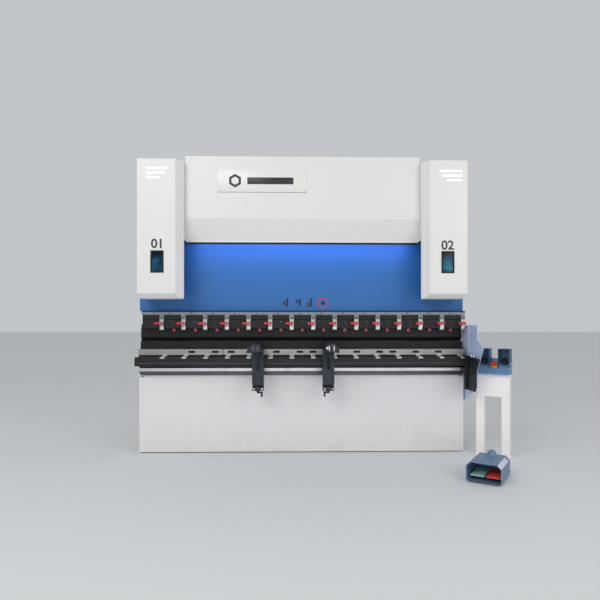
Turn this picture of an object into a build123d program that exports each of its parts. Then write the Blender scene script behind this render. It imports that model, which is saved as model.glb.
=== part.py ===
"""Hydraulic press brake, 2.5 m class, with its operator console and foot switch.

Millimetres. +Z is up, -Y is the operator's side, +X is the operator's right.
The origin is on the floor, in the middle of the four anchor holes.
"""
from build123d import *
from math import cos, radians, sin
import os

os.makedirs("parts", exist_ok=True)

# ---------------------------------------------------------------- driving dimensions
bend_y = -480.0            # bending plane, in front of the anchor centre
sheet = 3.0                # sheet-metal wall of the covers
slide_gap = 0.3            # clearance between sliding flat faces
pin_gap = 0.05             # radial clearance of a pin in its hole

bed_length = 2500.0        # lower beam
bed_thickness = 80.0
bed_top = 742.0
bed_floor_gap = 8.0

frame_spacing = 2090.0     # between the centres of the two side frames
frame_thickness = 50.0
frame_height = 2140.0
frame_rear = 520.0
frame_back_top = 380.0     # rear edge of the frames above the sloping back
back_slope = (840.0, 1040.0)
throat_depth = 320.0       # from the bending plane
throat_bottom = 735.0
throat_top = 1180.0
throat_radius = 110.0
ledge_depth = 65.0

sole_thickness = 20.0
sole_width = 170.0
anchor_radius = 13.0
anchor_spacing_x = 2240.0
anchor_spacing_y = 800.0

table_width = 160.0        # die table and die holder
table_thickness = 11.0
holder_height = 44.0
holder_split = -605.0      # joint between the holder's two lengths
tool_length = bed_length - 20.0
die_width = 60.0
die_top = 857.0
vee_width = 16.0
vee_depth = 8.0
tang_width = 14.0
tang_depth = 12.0
tool_gap = 1.0             # punch tip above the die, ram at rest

punch_height = 100.0
punch_width = 36.0
punch_tip_width = 3.0
punch_tang_height = 27.0
clamp_inset = 28.0         # left end of the clamps and of the bright rail, inside the ram
clamp_count = 15
clamp_pitch = 164.3
clamp_height = 100.0
clamp_front = 80.0         # clamp faces in front of the bending plane
clamp_back = 65.0
wedge_width = 31.0         # bright wedge housings between the clamps
wedge_drop = 14.0
strip_height = 22.0        # bright rail between clamps and ram
strip_neck = 8.0
cap_radius = 12.0
cap_length = 12.0

ram_length = bed_length - 10.0
ram_thickness = 60.0
ram_height = 552.0
rail_thickness = 22.0      # ram guide rails on the frames
rail_width = 30.0
shoe_width = 30.0
shoe_height = 380.0

cylinder_radius = 100.0
cylinder_bore = 80.0
cylinder_height = 295.0
cylinder_head = 20.0
rod_radius = 50.0
piston_height = 60.0
rod_length = 310.0
bracket_thickness = 50.0
bracket_width = 220.0

cover_front = -780.0       # side covers
cover_inner = 866.0
cover_outer = 1190.0
cover_bottom = 1174.0
cover_top = frame_height + 35.0
cover_chamfer = 52.0       # upright inner corner
cover_toe = 36.0           # lower front corner
cover_return = 10.0        # lip left behind the chamfer where the inner wall is open
window_width = 94.0
window_height = 159.0
window_bottom = 1358.0
lens_thickness = 5.0

hood_front = -680.0        # centre cover
hood_top = frame_height + 85.0
hood_knee = 1767.0
hood_bottom = 1610.0
hood_lip = -620.0
hood_back = -400.0
hood_flange = 25.0
led_width = 20.0
led_height = 12.0

guide_front_rail = 125.0   # front of the support rail, ahead of the bed
rail_height = 67.0
rail_wall = 10.0
rail_half_length = bed_length / 2 - 8.0
leg_bottom = 612.0         # lower edge of the rail's back leg
leg_thickness = 20.0
bar_bottom = 629.0         # polished guide bar
bar_height = 27.0
bar_depth = 22.0
bar_half_length = bed_length / 2 - 15.0

arm_width = 84.0
arm_places = (-331.0, 188.0)
crank_sides = (1, -1)
arm_bar_width = 60.0
arm_bar_height = 45.0
arm_drop = 9.0             # bar top below the die top, height screw at rest
arm_reach = 1000.0
plate_thickness = 22.0
column_depth = 44.0
column_bottom = 545.0
foot_bottom = 500.0
foot_height = 28.0
screw_radius = 6.0
parked_place = bed_length / 2 - 19.0
parked_width = 38.0
parked_plate = 20.0
parked_reach = 862.0

console_place = (bed_length / 2 + 180.0, -650.0)
console_turn = -35.0
console_width = 240.0
console_depth = 55.0
console_leg = 56.0
console_panel_bottom = 448.0
console_panel_top = 616.0
console_box_low = 626.0
console_box_back = 730.0
console_overhang = 27.0
hood_places = (-66.0, 78.0)
hood_button_width = 84.0
hood_button_height = 75.0
hood_button_wall = 4.0
button_radius = 26.0
stop_radius = 20.0

pedal_place = (bed_length / 2 - 70.0, -1200.0)
pedal_turn = -33.0
pedal_width = 215.0
pedal_depth = 280.0
pedal_height = 128.0
pedal_wall = 5.0
pedal_corner = 26.0
pedal_foot_corner = 12.0

tank_bottom = 1620.0
tank_top = 1960.0
tank_front = -60.0
tank_back = 300.0

cabinet_depth = 168.0
cabinet_front = -60.0
cabinet_back = 380.0
cabinet_bottom = 900.0
cabinet_top = 1650.0

# ---------------------------------------------------------------- derived planes
bed_front = bend_y - bed_thickness / 2
bed_rear = bend_y + bed_thickness / 2
frame_inner = (frame_spacing - frame_thickness) / 2
frame_outer = (frame_spacing + frame_thickness) / 2
frame_x = frame_spacing / 2
table_front = bend_y - table_width / 2
table_rear = bend_y + table_width / 2
holder_bottom = bed_top + table_thickness
holder_top = holder_bottom + holder_height
punch_tip = die_top + tool_gap
punch_top = punch_tip + punch_height
clamp_top = punch_top + clamp_height
strip_top = clamp_top + strip_height
ram_bottom = strip_top + strip_neck
ram_top = ram_bottom + ram_height
ram_front = bend_y - ram_thickness / 2
ram_rear = bend_y + ram_thickness / 2
guide_edge = ram_rear + 3.0 + rail_thickness
ledge_edge = guide_edge + ledge_depth
ledge_height = ram_top + 105.0  # seat of the cylinder brackets
cylinder_base = ledge_height + bracket_thickness
rail_front = bed_front - guide_front_rail
rail_bottom = bed_top - rail_height
bar_front = bed_front - leg_thickness - bar_depth
plate_back = rail_front - slide_gap
plate_front = plate_back - plate_thickness
column_front = plate_front - slide_gap - column_depth
column_y = plate_front - slide_gap - column_depth / 2
clamp_gaps = [(k - (clamp_count - 2) / 2) * clamp_pitch for k in range(clamp_count)]


# ---------------------------------------------------------------- drawing helpers
def block(x, y, z, mode=Mode.ADD):
    """Box between the given low and high values of x, y and z, into the open part."""
    centre = ((x[0] + x[1]) / 2, (y[0] + y[1]) / 2, (z[0] + z[1]) / 2)
    with Locations(centre):
        Box(abs(x[1] - x[0]), abs(y[1] - y[0]), abs(z[1] - z[0]), mode=mode)


def post(x, y, z, radius, mode=Mode.ADD):
    """Upright cylinder at x, y between the two heights z."""
    with Locations((x, y, (z[0] + z[1]) / 2)):
        Cylinder(radius, z[1] - z[0], mode=mode)


def bar_along_x(x, y, z, radius, mode=Mode.ADD):
    """Cylinder along X between the two values of x, centred on y, z."""
    with Locations(((x[0] + x[1]) / 2, y, z)):
        Cylinder(radius, x[1] - x[0], rotation=(0, 90, 0), mode=mode)


def bar_along_y(x, y, z, radius, mode=Mode.ADD):
    """Cylinder along Y between the two values of y, centred on x, z."""
    with Locations((x, (y[0] + y[1]) / 2, z)):
        Cylinder(radius, y[1] - y[0], rotation=(90, 0, 0), mode=mode)


def prism(x, points, mode=Mode.ADD):
    """Outline given as (y, z) points, extruded between the two values of x."""
    with BuildSketch(Plane.YZ.offset(x[0])) as outline:
        with BuildLine():
            Polyline(*points, close=True)
        make_face()
    extrude(outline.sketch, amount=x[1] - x[0], mode=mode)


def span(middle, width):
    """Low and high values of a width about its middle."""
    return (middle - width / 2, middle + width / 2)


def sided(sign, low, high):
    """Low and high x of a range given for the right side, on the side of sign."""
    return (low, high) if sign > 0 else (-high, -low)


def standing_at(place, turn):
    """Location on the floor, turned by some degrees about the vertical."""
    turned = (cos(radians(turn)), sin(radians(turn)), 0)
    return Location(Plane(origin=(place[0], place[1], 0), x_dir=turned, z_dir=(0, 0, 1)))


def save(builder, name, where=None):
    """Writes one node's solids, moved to their place if one is given."""
    piece = where * builder.part if where else builder.part
    piece.label = name
    export_step(piece, f"parts/{name}.step")


# ---------------------------------------------------------------- side frames
door_hinge = (frame_x, frame_rear + 15.0)
door_heights = (260.0, 760.0)
barrel_radius = 9.0
barrel_height = 40.0
door_pin = 4.0


def hinge_lug(x, y, z, web_x, web_y):
    """Fixed hinge eye above height z, tied to its carrier by a short web."""
    height = (z, z + barrel_height)
    post(x, y, height, barrel_radius)
    block(web_x, web_y, height)
    post(x, y, height, door_pin + pin_gap, mode=Mode.SUBTRACT)


def hinge_barrel(x, y, z, web_x, web_y):
    """Moving hinge eye below height z, with its pin standing up into the fixed eye."""
    height = (z - slide_gap - barrel_height, z - slide_gap)
    post(x, y, height, barrel_radius)
    post(x, y, (height[0], z + barrel_height - 2), door_pin)
    block(web_x, web_y, height)


def side_frame(sign, name):
    """C-shaped side plate: lower jaw, throat, upper jaw and the cylinder ledge."""
    throat_back = bend_y + throat_depth
    with BuildPart() as frame:
        with BuildSketch(Plane.YZ.offset(sign * frame_x - frame_thickness / 2)):
            with BuildLine():
                Polyline(
                    (bed_rear, sole_thickness),
                    (bed_rear, throat_bottom),
                    (throat_back, throat_bottom),
                    (throat_back, throat_top),
                    (guide_edge, throat_top),
                    (guide_edge, ledge_height),
                    (ledge_edge, ledge_height),
                    (ledge_edge, frame_height),
                    (frame_back_top, frame_height),
                    (frame_back_top, back_slope[1]),
                    (frame_rear, back_slope[0]),
                    (frame_rear, sole_thickness),
                    close=True,
                )
            make_face()
            corners = vertices().filter_by_position(Axis.X, throat_back - 1, throat_back + 1)
            fillet(corners, throat_radius)
        extrude(amount=frame_thickness)
        for height in door_heights:
            hinge_x, hinge_y = sign * door_hinge[0], door_hinge[1]
            hinge_lug(hinge_x, hinge_y, height, span(hinge_x, 8), (frame_rear - 2, hinge_y))
    save(frame, name)


side_frame(-1, "left_side_frame")
side_frame(1, "right_side_frame")

# Sole plates under the frames, each with two anchor holes outside the frame plate.
with BuildPart() as sole_plates:
    for sign in (-1, 1):
        block(
            sided(sign, frame_inner - 20, frame_inner - 20 + sole_width),
            (bed_rear + 2, frame_rear),
            (0, sole_thickness),
        )
    with GridLocations(anchor_spacing_x, anchor_spacing_y, 2, 2):
        Cylinder(anchor_radius, 3 * sole_thickness, mode=Mode.SUBTRACT)
save(sole_plates, "sole_plates")

# Lower beam: the thick front plate that carries the die table.
with BuildPart() as bed_beam:
    block(span(0, bed_length), (bed_front, bed_rear), (bed_floor_gap, bed_top))
    edges_front = bed_beam.edges().filter_by(Axis.Z).group_by(Axis.Y)[0]
    fillet(edges_front, 6)
save(bed_beam, "bed_beam")

# Box beam that ties the two frames together low down at the back.
with BuildPart() as rear_tie_beam:
    block((-frame_inner, frame_inner), (400, 460), (150, 420))
    block((-frame_inner - 1, frame_inner + 1), (408, 452), (158, 412), mode=Mode.SUBTRACT)
save(rear_tie_beam, "rear_tie_beam")

# ---------------------------------------------------------------- lower tooling
with BuildPart() as die_table:
    block(span(0, bed_length - 10), (table_front + 14, table_rear), (bed_top, holder_bottom))
save(die_table, "die_table")

slot_size = (50.0, 12.0, 17.0)
slot_places = (-840, -662, -542, -400, -198, -20, 82, 415, 590, 690, 868, 1040)
with BuildPart() as die_holder:
    for low, high in ((-bed_length / 2 + 5, holder_split - 1.5), (holder_split + 1.5, bed_length / 2 - 5)):
        block((low, high), (table_front, table_rear), (holder_bottom, holder_top))
    block(
        span(0, bed_length),
        span(bend_y, tang_width + 0.4),
        (holder_top - tang_depth - 1, holder_top),
        mode=Mode.SUBTRACT,
    )
    for place in slot_places:
        block(
            span(place, slot_size[0]),
            (table_front, table_front + slot_size[1]),
            span(holder_bottom + 0.55 * holder_height, slot_size[2]),
            mode=Mode.SUBTRACT,
        )
save(die_holder, "die_holder")

with BuildPart() as lower_die:
    prism(
        span(0, tool_length),
        (
            (bend_y - die_width / 2, holder_top),
            (bend_y - die_width / 2, die_top),
            (bend_y - vee_width / 2, die_top),
            (bend_y, die_top - vee_depth),
            (bend_y + vee_width / 2, die_top),
            (bend_y + die_width / 2, die_top),
            (bend_y + die_width / 2, holder_top),
            (bend_y + tang_width / 2, holder_top),
            (bend_y + tang_width / 2, holder_top - tang_depth),
            (bend_y - tang_width / 2, holder_top - tang_depth),
            (bend_y - tang_width / 2, holder_top),
        ),
    )
save(lower_die, "lower_die")

# ---------------------------------------------------------------- front rail and guide bar
# Black extrusion bolted to the bed face; its back leg carries the polished bar.
with BuildPart() as front_rail:
    rail_span = (-rail_half_length, rail_half_length)
    block(rail_span, (rail_front, bed_front), (rail_bottom, bed_top))
    block(rail_span, (bed_front - leg_thickness, bed_front), (leg_bottom, rail_bottom))
    block(
        rail_span,
        (rail_front + rail_wall, bed_front - leg_thickness),
        (rail_bottom + rail_wall, bed_top - rail_wall),
        mode=Mode.SUBTRACT,
    )
    block(rail_span, (rail_front, rail_front + 4), span(rail_bottom + 22, 6), mode=Mode.SUBTRACT)
save(front_rail, "front_rail")

with BuildPart() as guide_bar:
    block(
        (-bar_half_length, bar_half_length),
        (bar_front, bar_front + bar_depth),
        (bar_bottom, bar_bottom + bar_height),
    )
save(guide_bar, "guide_bar")


# ---------------------------------------------------------------- front support arms
def carriage_body(place, width):
    """Plate ahead of the rail, hook over it and bearing block round the guide bar."""
    across = span(place, width)
    block(across, (plate_front, plate_back), (foot_bottom, bed_top + 10))
    block(across, (plate_front, rail_front + 15), (bed_top + slide_gap, bed_top + 10))
    block(across, (plate_back, bar_front - slide_gap), (bar_bottom - 9, bar_bottom + bar_height + 9))
    bar_top = bar_bottom + bar_height
    block(across, (bar_front - slide_gap, bar_front + 14), (bar_top + slide_gap, bar_top + 9))
    block(across, (bar_front - slide_gap, bar_front + 14), (bar_bottom - 9, bar_bottom - slide_gap))


for number, (place, side) in enumerate(zip(arm_places, crank_sides), start=1):
    # Carriage with the foot that holds the height screw.
    with BuildPart() as arm_carriage:
        carriage_body(place, arm_width)
        block(
            span(place, arm_width),
            (column_front, plate_front),
            (foot_bottom, foot_bottom + foot_height),
        )
        post(place, column_y, (foot_bottom, foot_bottom + foot_height), screw_radius + pin_gap,
             mode=Mode.SUBTRACT)
    save(arm_carriage, f"arm_carriage_{number}")

    # Column, support bar at die height and the web between them.
    with BuildPart() as support_arm:
        bar_z = (die_top - arm_drop - arm_bar_height, die_top - arm_drop)
        block(
            span(place, arm_width),
            (column_front, plate_front - slide_gap),
            (column_bottom, bar_z[0]),
        )
        block(span(place, arm_bar_width), (-arm_reach, table_front - 30), bar_z)
        prism(
            span(place, 12),
            ((column_front, bar_z[0]), (-arm_reach + 90, bar_z[0]), (column_front, bar_z[0] - 150)),
        )
        post(place, column_y, (column_bottom, column_bottom + 110), screw_radius + 0.4,
             mode=Mode.SUBTRACT)
    save(support_arm, f"support_arm_{number}")

    # Height screw with its crank hanging below the foot.
    with BuildPart() as arm_crank:
        post(place, column_y, (foot_bottom - 20, column_bottom + 60), screw_radius)
        post(place, column_y, (foot_bottom - 8, foot_bottom - slide_gap), 14)
        block(
            sorted((place - side * 8, place + side * 36)),
            span(column_y, 14),
            (foot_bottom - 20, foot_bottom - 8),
        )
        post(place + side * 28, column_y, (foot_bottom - 46, foot_bottom - 20), 7)
    save(arm_crank, f"arm_crank_{number}")

# Third carriage, parked at the rail's end, with a plate that reaches forward.
with BuildPart() as parked_carriage:
    carriage_body(parked_place, parked_width)
    plate_right = parked_place + parked_width / 2
    prism(
        (plate_right - parked_plate, plate_right),
        (
            (plate_front, foot_bottom),
            (plate_front, bed_top),
            (-parked_reach, bed_top),
            (-parked_reach, bed_top - 14),
            (-parked_reach + 74, bed_top - 112),
            (-parked_reach + 74, foot_bottom),
        ),
    )
save(parked_carriage, "parked_carriage")

# ---------------------------------------------------------------- ram and upper tooling
with BuildPart() as ram_plate:
    block(span(0, ram_length), (ram_front, ram_rear), (ram_bottom, ram_top))
    chamfer(ram_plate.edges().filter_by(Axis.Y).group_by(Axis.Z)[-1], 60)
    for sign in (-1, 1):
        for flank in (-1, 1):
            shoe_inner = frame_x + flank * (rail_width / 2 + slide_gap)
            shoe_outer = shoe_inner + flank * shoe_width
            block(
                sorted((sign * shoe_inner, sign * shoe_outer)),
                (ram_rear, ram_rear + rail_thickness - 2),
                (ram_bottom + 120, ram_bottom + 120 + shoe_height),
            )
save(ram_plate, "ram_plate")

with BuildPart() as ram_guides:
    for sign in (-1, 1):
        block(
            span(sign * frame_x, rail_width),
            (guide_edge - rail_thickness, guide_edge),
            (throat_top + 10, ram_top - 20),
        )
save(ram_guides, "ram_guides")

with BuildPart() as ram_strip:
    strip_span = (clamp_inset - ram_length / 2, ram_length / 2)
    block(strip_span, (bend_y - clamp_front - 4, bend_y + clamp_back), (clamp_top, strip_top))
    block(strip_span, (ram_front + 6, ram_rear - 6), (strip_top, ram_bottom))
save(ram_strip, "ram_strip")

with BuildPart() as punch:
    prism(
        span(0, tool_length),
        (
            (bend_y - punch_tip_width / 2, punch_tip),
            (bend_y - punch_width / 2, punch_tip + 30),
            (bend_y - punch_width / 2, punch_top),
            (bend_y - tang_width / 2, punch_top),
            (bend_y - tang_width / 2, punch_top + punch_tang_height),
            (bend_y + tang_width / 2, punch_top + punch_tang_height),
            (bend_y + tang_width / 2, punch_top),
            (bend_y + punch_width / 2, punch_top),
            (bend_y + punch_width / 2, punch_tip + 30),
            (bend_y + punch_tip_width / 2, punch_tip),
        ),
    )
save(punch, "punch")

# Clamps fill the spaces between the wedge housings.
clamp_edges = [-tool_length / 2 + clamp_inset] + [
    edge for gap in clamp_gaps for edge in (gap - wedge_width / 2 - 1, gap + wedge_width / 2 + 1)
]
clamp_face = bend_y - clamp_front
with BuildPart() as punch_clamps:
    for left, right in zip(clamp_edges[0:-1:2], clamp_edges[1::2]):
        block((left, right), (clamp_face, bend_y + clamp_back), (punch_top, clamp_top))
        block(
            (left, right),
            span(bend_y, tang_width + 0.4),
            (punch_top, punch_top + punch_tang_height + 3),
            mode=Mode.SUBTRACT,
        )
        # parting line between the clamping plate and the jaw
        block(
            (left, right),
            (clamp_face, clamp_face + 8),
            (punch_top + 62, punch_top + 66),
            mode=Mode.SUBTRACT,
        )
save(punch_clamps, "punch_clamps")

lever_y = clamp_face - 12
lever_z = punch_top + 36
lever_pin = 4.0
ear_gap = 9.2
with BuildPart() as clamp_wedges:
    for gap in clamp_gaps:
        housing = span(gap, wedge_width)
        block(housing, (clamp_face, bend_y - 20), (punch_top - wedge_drop, clamp_top))
        block(housing, (bend_y - 20, bend_y + clamp_back), (punch_top + punch_tang_height + 1, clamp_top))
        for side in (-1, 1):
            block(
                sorted((gap + side * ear_gap, gap + side * wedge_width / 2)),
                (lever_y - 10, clamp_face),
                span(lever_z, 20),
            )
        bar_along_x(housing, lever_y, lever_z, lever_pin + pin_gap, mode=Mode.SUBTRACT)
save(clamp_wedges, "clamp_wedges")

# One quick-clamp lever on each housing, on pins that share one line.
with BuildPart() as clamp_levers:
    for gap in clamp_gaps:
        bar_along_x(span(gap, 2 * ear_gap - 2 * slide_gap), lever_y, lever_z, 9)
        bar_along_x(span(gap, wedge_width - 1), lever_y, lever_z, lever_pin)
        block(span(gap, 2 * ear_gap - 2 * slide_gap), (lever_y - 20, lever_y), span(lever_z, 12))
        block((gap - 46, gap + 10), (lever_y - 30, lever_y - 18), span(lever_z, 15))
save(clamp_levers, "clamp_levers")

# Red-capped screws on the punch, one under each clamp but the first.
with BuildPart() as clamp_screws:
    for left, right in zip(clamp_edges[2:-1:2], clamp_edges[3::2]):
        bar_along_y(
            (left + right) / 2,
            (bend_y - punch_width / 2 - cap_length, bend_y - punch_width / 2),
            punch_top - cap_radius - 3,
            cap_radius,
        )
save(clamp_screws, "clamp_screws")

# ---------------------------------------------------------------- hydraulics
with BuildPart() as cylinder_brackets:
    for sign in (-1, 1):
        block(
            span(sign * frame_x, bracket_width),
            (bend_y - cylinder_radius - 10, guide_edge),
            (ledge_height, cylinder_base),
        )
        block(
            span(sign * frame_x, bracket_width),
            (guide_edge, ledge_edge),
            (ledge_height, cylinder_base),
        )
        post(sign * frame_x, bend_y, (ledge_height, cylinder_base), rod_radius + 2, mode=Mode.SUBTRACT)
save(cylinder_brackets, "cylinder_brackets")

with BuildPart() as cylinders:
    for sign in (-1, 1):
        top = cylinder_base + cylinder_height
        post(sign * frame_x, bend_y, (cylinder_base, top), cylinder_radius)
        post(
            sign * frame_x, bend_y, (cylinder_base + cylinder_head, top - cylinder_head),
            cylinder_bore, mode=Mode.SUBTRACT,
        )
        post(sign * frame_x, bend_y, (cylinder_base, cylinder_base + cylinder_head),
             rod_radius + pin_gap, mode=Mode.SUBTRACT)
save(cylinders, "cylinders")

with BuildPart() as cylinder_rods:
    for sign in (-1, 1):
        post(sign * frame_x, bend_y, (ram_top, ram_top + rod_length), rod_radius)
        post(
            sign * frame_x, bend_y, (ram_top + rod_length - piston_height, ram_top + rod_length),
            cylinder_bore - slide_gap,
        )
save(cylinder_rods, "cylinder_rods")

with BuildPart() as valve_blocks:
    for sign in (-1, 1):
        top = cylinder_base + cylinder_height
        block(span(sign * frame_x, 110), span(bend_y, 130), (top, top + 62))
        for y in (bend_y - 88, bend_y + 88):
            bar_along_y(sign * frame_x, span(y, 46), top + 32, 19)
save(valve_blocks, "valve_blocks")

# Oil tank, welded in between the frames as their upper cross beam.
with BuildPart() as oil_tank:
    block((-frame_inner, frame_inner), (tank_front, tank_back), (tank_bottom, tank_top))
    block(
        (-frame_inner + 8, frame_inner - 8),
        (tank_front + 8, tank_back - 8),
        (tank_bottom + 8, tank_top - 8),
        mode=Mode.SUBTRACT,
    )
    post(520, (tank_front + tank_back) / 2, (tank_top, tank_top + 35), 38)
save(oil_tank, "oil_tank")

tank_middle = (tank_front + tank_back) / 2
motor_radius = 92.0
motor_axis = tank_top + 112
with BuildPart() as pump_motor:
    bar_along_x((-330, -20), tank_middle, motor_axis, motor_radius)
    bar_along_x((-20, 0), tank_middle, motor_axis, motor_radius + 14)
    block((-290, -60), span(tank_middle, 150), (tank_top, motor_axis - 50))
    block((-230, -110), span(tank_middle - 60, 110), (motor_axis + 20, motor_axis + 88))
save(pump_motor, "pump_motor")

with BuildPart() as hydraulic_pump:
    bar_along_x((0, 60), tank_middle, motor_axis, 70)
    bar_along_x((60, 190), tank_middle, motor_axis, 48)
    block((80, 170), span(tank_middle, 60), (tank_top, motor_axis - 20))
save(hydraulic_pump, "hydraulic_pump")

# Linear scales hang from the cylinder brackets ahead of the ram.
scale_width = 26.0
scale_front = bend_y - rod_radius - 34.0
with BuildPart() as linear_scales:
    for sign in (-1, 1):
        block(
            span(sign * (frame_x + 24), scale_width),
            (scale_front, scale_front + 28),
            (window_bottom - 40, ledge_height),
        )
save(linear_scales, "linear_scales")


# ---------------------------------------------------------------- covers
def cover_form(sign, inset):
    """Outer form of a side cover, drawn in by inset: chamfered inner and lower edges."""
    inner, outer = cover_inner + inset, cover_outer - inset
    front, bottom, top = cover_front + inset, cover_bottom + inset, cover_top - inset
    bevel = cover_chamfer - inset * 0.6
    with BuildPart() as form:
        with BuildSketch(Plane.XY.offset(bottom)):
            with BuildLine():
                Polyline(
                    (sign * inner, ledge_edge + 18),
                    (sign * inner, front + bevel),
                    (sign * (inner + bevel), front),
                    (sign * outer, front),
                    (sign * outer, ledge_edge + 18),
                    close=True,
                )
            make_face()
        extrude(amount=top - bottom)
        lower_front = form.edges().group_by(Axis.Z)[0].group_by(Axis.Y)[0]
        chamfer(lower_front, cover_toe - inset * 0.6)
    return form.part


def side_cover(sign, name):
    """Folded cover round a cylinder: open at the back, with a window in its face."""
    outer_form = cover_form(sign, 0.0)
    cavity = cover_form(sign, sheet)
    ram_clear = ram_front - 12
    with BuildPart() as cover:
        add(outer_form)
        add(cavity, mode=Mode.SUBTRACT)
        walls = sided(sign, cover_inner - 1, cover_outer + 1)
        # the ram passes behind the cover below the cylinder brackets
        block(walls, (ram_clear, ledge_edge + 30), (cover_bottom - 1, ledge_height + 25), mode=Mode.SUBTRACT)
        # the inner wall is open below the centre cover, behind a short return lip
        block(
            sided(sign, cover_inner - 1, cover_inner + sheet),
            (cover_front + cover_chamfer + cover_return, ram_clear + 1),
            (cover_bottom - 1, hood_bottom - 6),
            mode=Mode.SUBTRACT,
        )
        block(
            sided(sign, cover_inner - 1, cover_inner + cover_chamfer),
            (cover_front + cover_chamfer + cover_return, ram_clear + 1),
            (cover_bottom - 1, cover_bottom + sheet + 1),
            mode=Mode.SUBTRACT,
        )
        block(
            sided(sign, cover_inner + sheet, cover_outer - sheet),
            (ledge_edge + 10, ledge_edge + 30),
            (ledge_height, cover_top - sheet),
            mode=Mode.SUBTRACT,
        )
        # return flanges, bolted to both faces of the side frame
        flange_y = (ledge_edge + 18 - sheet, ledge_edge + 18)
        flange_z = (ledge_height + 25, frame_height - 10)
        block(sided(sign, cover_inner, frame_inner), flange_y, flange_z)
        block(sided(sign, frame_outer, cover_outer), flange_y, flange_z)
        block(
            span(sign * (frame_x + 2), window_width),
            (cover_front - 1, cover_front + sheet + 1),
            (window_bottom, window_bottom + window_height),
            mode=Mode.SUBTRACT,
        )
    save(cover, name)


side_cover(-1, "left_cover")
side_cover(1, "right_cover")

with BuildPart() as cover_windows:
    for sign in (-1, 1):
        block(
            span(sign * (frame_x + 2), window_width + 24),
            (cover_front + sheet, cover_front + sheet + lens_thickness),
            (window_bottom - 12, window_bottom + window_height + 12),
        )
save(cover_windows, "cover_windows")


def hood_profile():
    """Folded line of the centre cover, from its top flange to its lower lip."""
    return (
        (hood_back, hood_top),
        (hood_front, hood_top),
        (hood_front, hood_knee),
        (hood_lip, hood_bottom),
        (hood_lip + 34, hood_bottom),
    )


with BuildPart() as upper_cover:
    for low, high, depth in (
        (-cover_inner, -cover_inner + sheet, hood_flange),
        (-cover_inner + sheet, cover_inner - sheet, sheet),
        (cover_inner - sheet, cover_inner, hood_flange),
    ):
        with BuildSketch(Plane.YZ.offset(low)):
            with BuildLine() as fold:
                Polyline(*hood_profile())
                offset(amount=depth, side=Side.LEFT)
            make_face()
        extrude(amount=high - low)
save(upper_cover, "upper_cover")

with BuildPart() as led_strip:
    block(
        (-cover_inner + 40, cover_inner - 40),
        (hood_lip + 8, hood_lip + 8 + led_width),
        (hood_bottom - led_height, hood_bottom),
    )
save(led_strip, "led_strip")

# Side guard: a bent plate beyond the right end, on spacers from the beam's end face.
guard_x = (bed_length / 2 + 11, bed_length / 2 + 14)
with BuildPart() as right_guard:
    prism(
        guard_x,
        (
            (bed_rear, 980),
            (bed_front - 260, 980),
            (bed_front - 260, 875),
            (bed_front - 378, 815),
            (bed_front - 256, 643),
            (bed_front - 256, 527),
            (bed_front, 401),
            (bed_rear, 401),
        ),
    )
    for height in (450, 690):
        bar_along_x((bed_length / 2, guard_x[0]), bend_y, height, 16)
save(right_guard, "right_guard")

# ---------------------------------------------------------------- electric cabinet
cabinet_outer = frame_outer + cabinet_depth
cabinet_side = cabinet_back - 30          # rear side wall, ahead of the hinge
cabinet_hinge = (cabinet_outer + 10, cabinet_side + 14)
cabinet_hinge_heights = (cabinet_bottom + 150, cabinet_top - 150)
with BuildPart() as electric_cabinet:
    block((frame_outer, cabinet_outer), (cabinet_front, cabinet_side), (cabinet_bottom, cabinet_top))
    block(
        (frame_outer + sheet, cabinet_outer + 1),
        (cabinet_front + sheet, cabinet_side - sheet),
        (cabinet_bottom + sheet, cabinet_top - sheet),
        mode=Mode.SUBTRACT,
    )
    # drives and contactors on the back plate
    block(
        (frame_outer + sheet, frame_outer + 60),
        (cabinet_front + 100, cabinet_side - 110),
        (cabinet_bottom + 120, cabinet_top - 110),
    )
    for height in cabinet_hinge_heights:
        hinge_lug(
            *cabinet_hinge, height,
            (cabinet_outer - 12, cabinet_hinge[0]), (cabinet_side, cabinet_hinge[1]),
        )
save(electric_cabinet, "electric_cabinet")

with BuildPart() as cabinet_door:
    door_x = (cabinet_outer + slide_gap, cabinet_outer + 16)
    block(door_x, (cabinet_front, cabinet_side - 2), (cabinet_bottom, cabinet_top))
    block(
        (door_x[0] - 1, door_x[1] - sheet),
        (cabinet_front + sheet, cabinet_side - 2 - sheet),
        (cabinet_bottom + sheet, cabinet_top - sheet),
        mode=Mode.SUBTRACT,
    )
    for height in cabinet_hinge_heights:
        hinge_barrel(
            *cabinet_hinge, height,
            span(cabinet_hinge[0], 6), (cabinet_side - 4, cabinet_hinge[1]),
        )
    block((door_x[1], door_x[1] + 12), (cabinet_front + 30, cabinet_front + 48), (1230, 1330))
save(cabinet_door, "cabinet_door")

# ---------------------------------------------------------------- rear doors
door_bottom = 120.0
door_top = 880.0
door_frame = 30.0
for sign, name in ((-1, "left_rear_door"), (1, "right_rear_door")):
    with BuildPart() as rear_door:
        door_x = sided(sign, 4, frame_x - 14)
        door_y = (frame_rear + 8, frame_rear + 26)
        block(door_x, door_y, (door_bottom, door_top))
        inner_x = (door_x[0] + door_frame, door_x[1] - door_frame)
        inner_z = (door_bottom + door_frame, door_top - door_frame)
        block(inner_x, (door_y[0] - 1, door_y[0] + 7), inner_z, mode=Mode.SUBTRACT)
        block(inner_x, (door_y[0] + 9, door_y[1] + 1), inner_z, mode=Mode.SUBTRACT)
        for height in door_heights:
            hinge_x, hinge_y = sign * door_hinge[0], door_hinge[1]
            hinge_barrel(hinge_x, hinge_y, height, sorted((hinge_x, hinge_x - sign * 16)), span(hinge_y, 6))
    save(rear_door, name)

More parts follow.
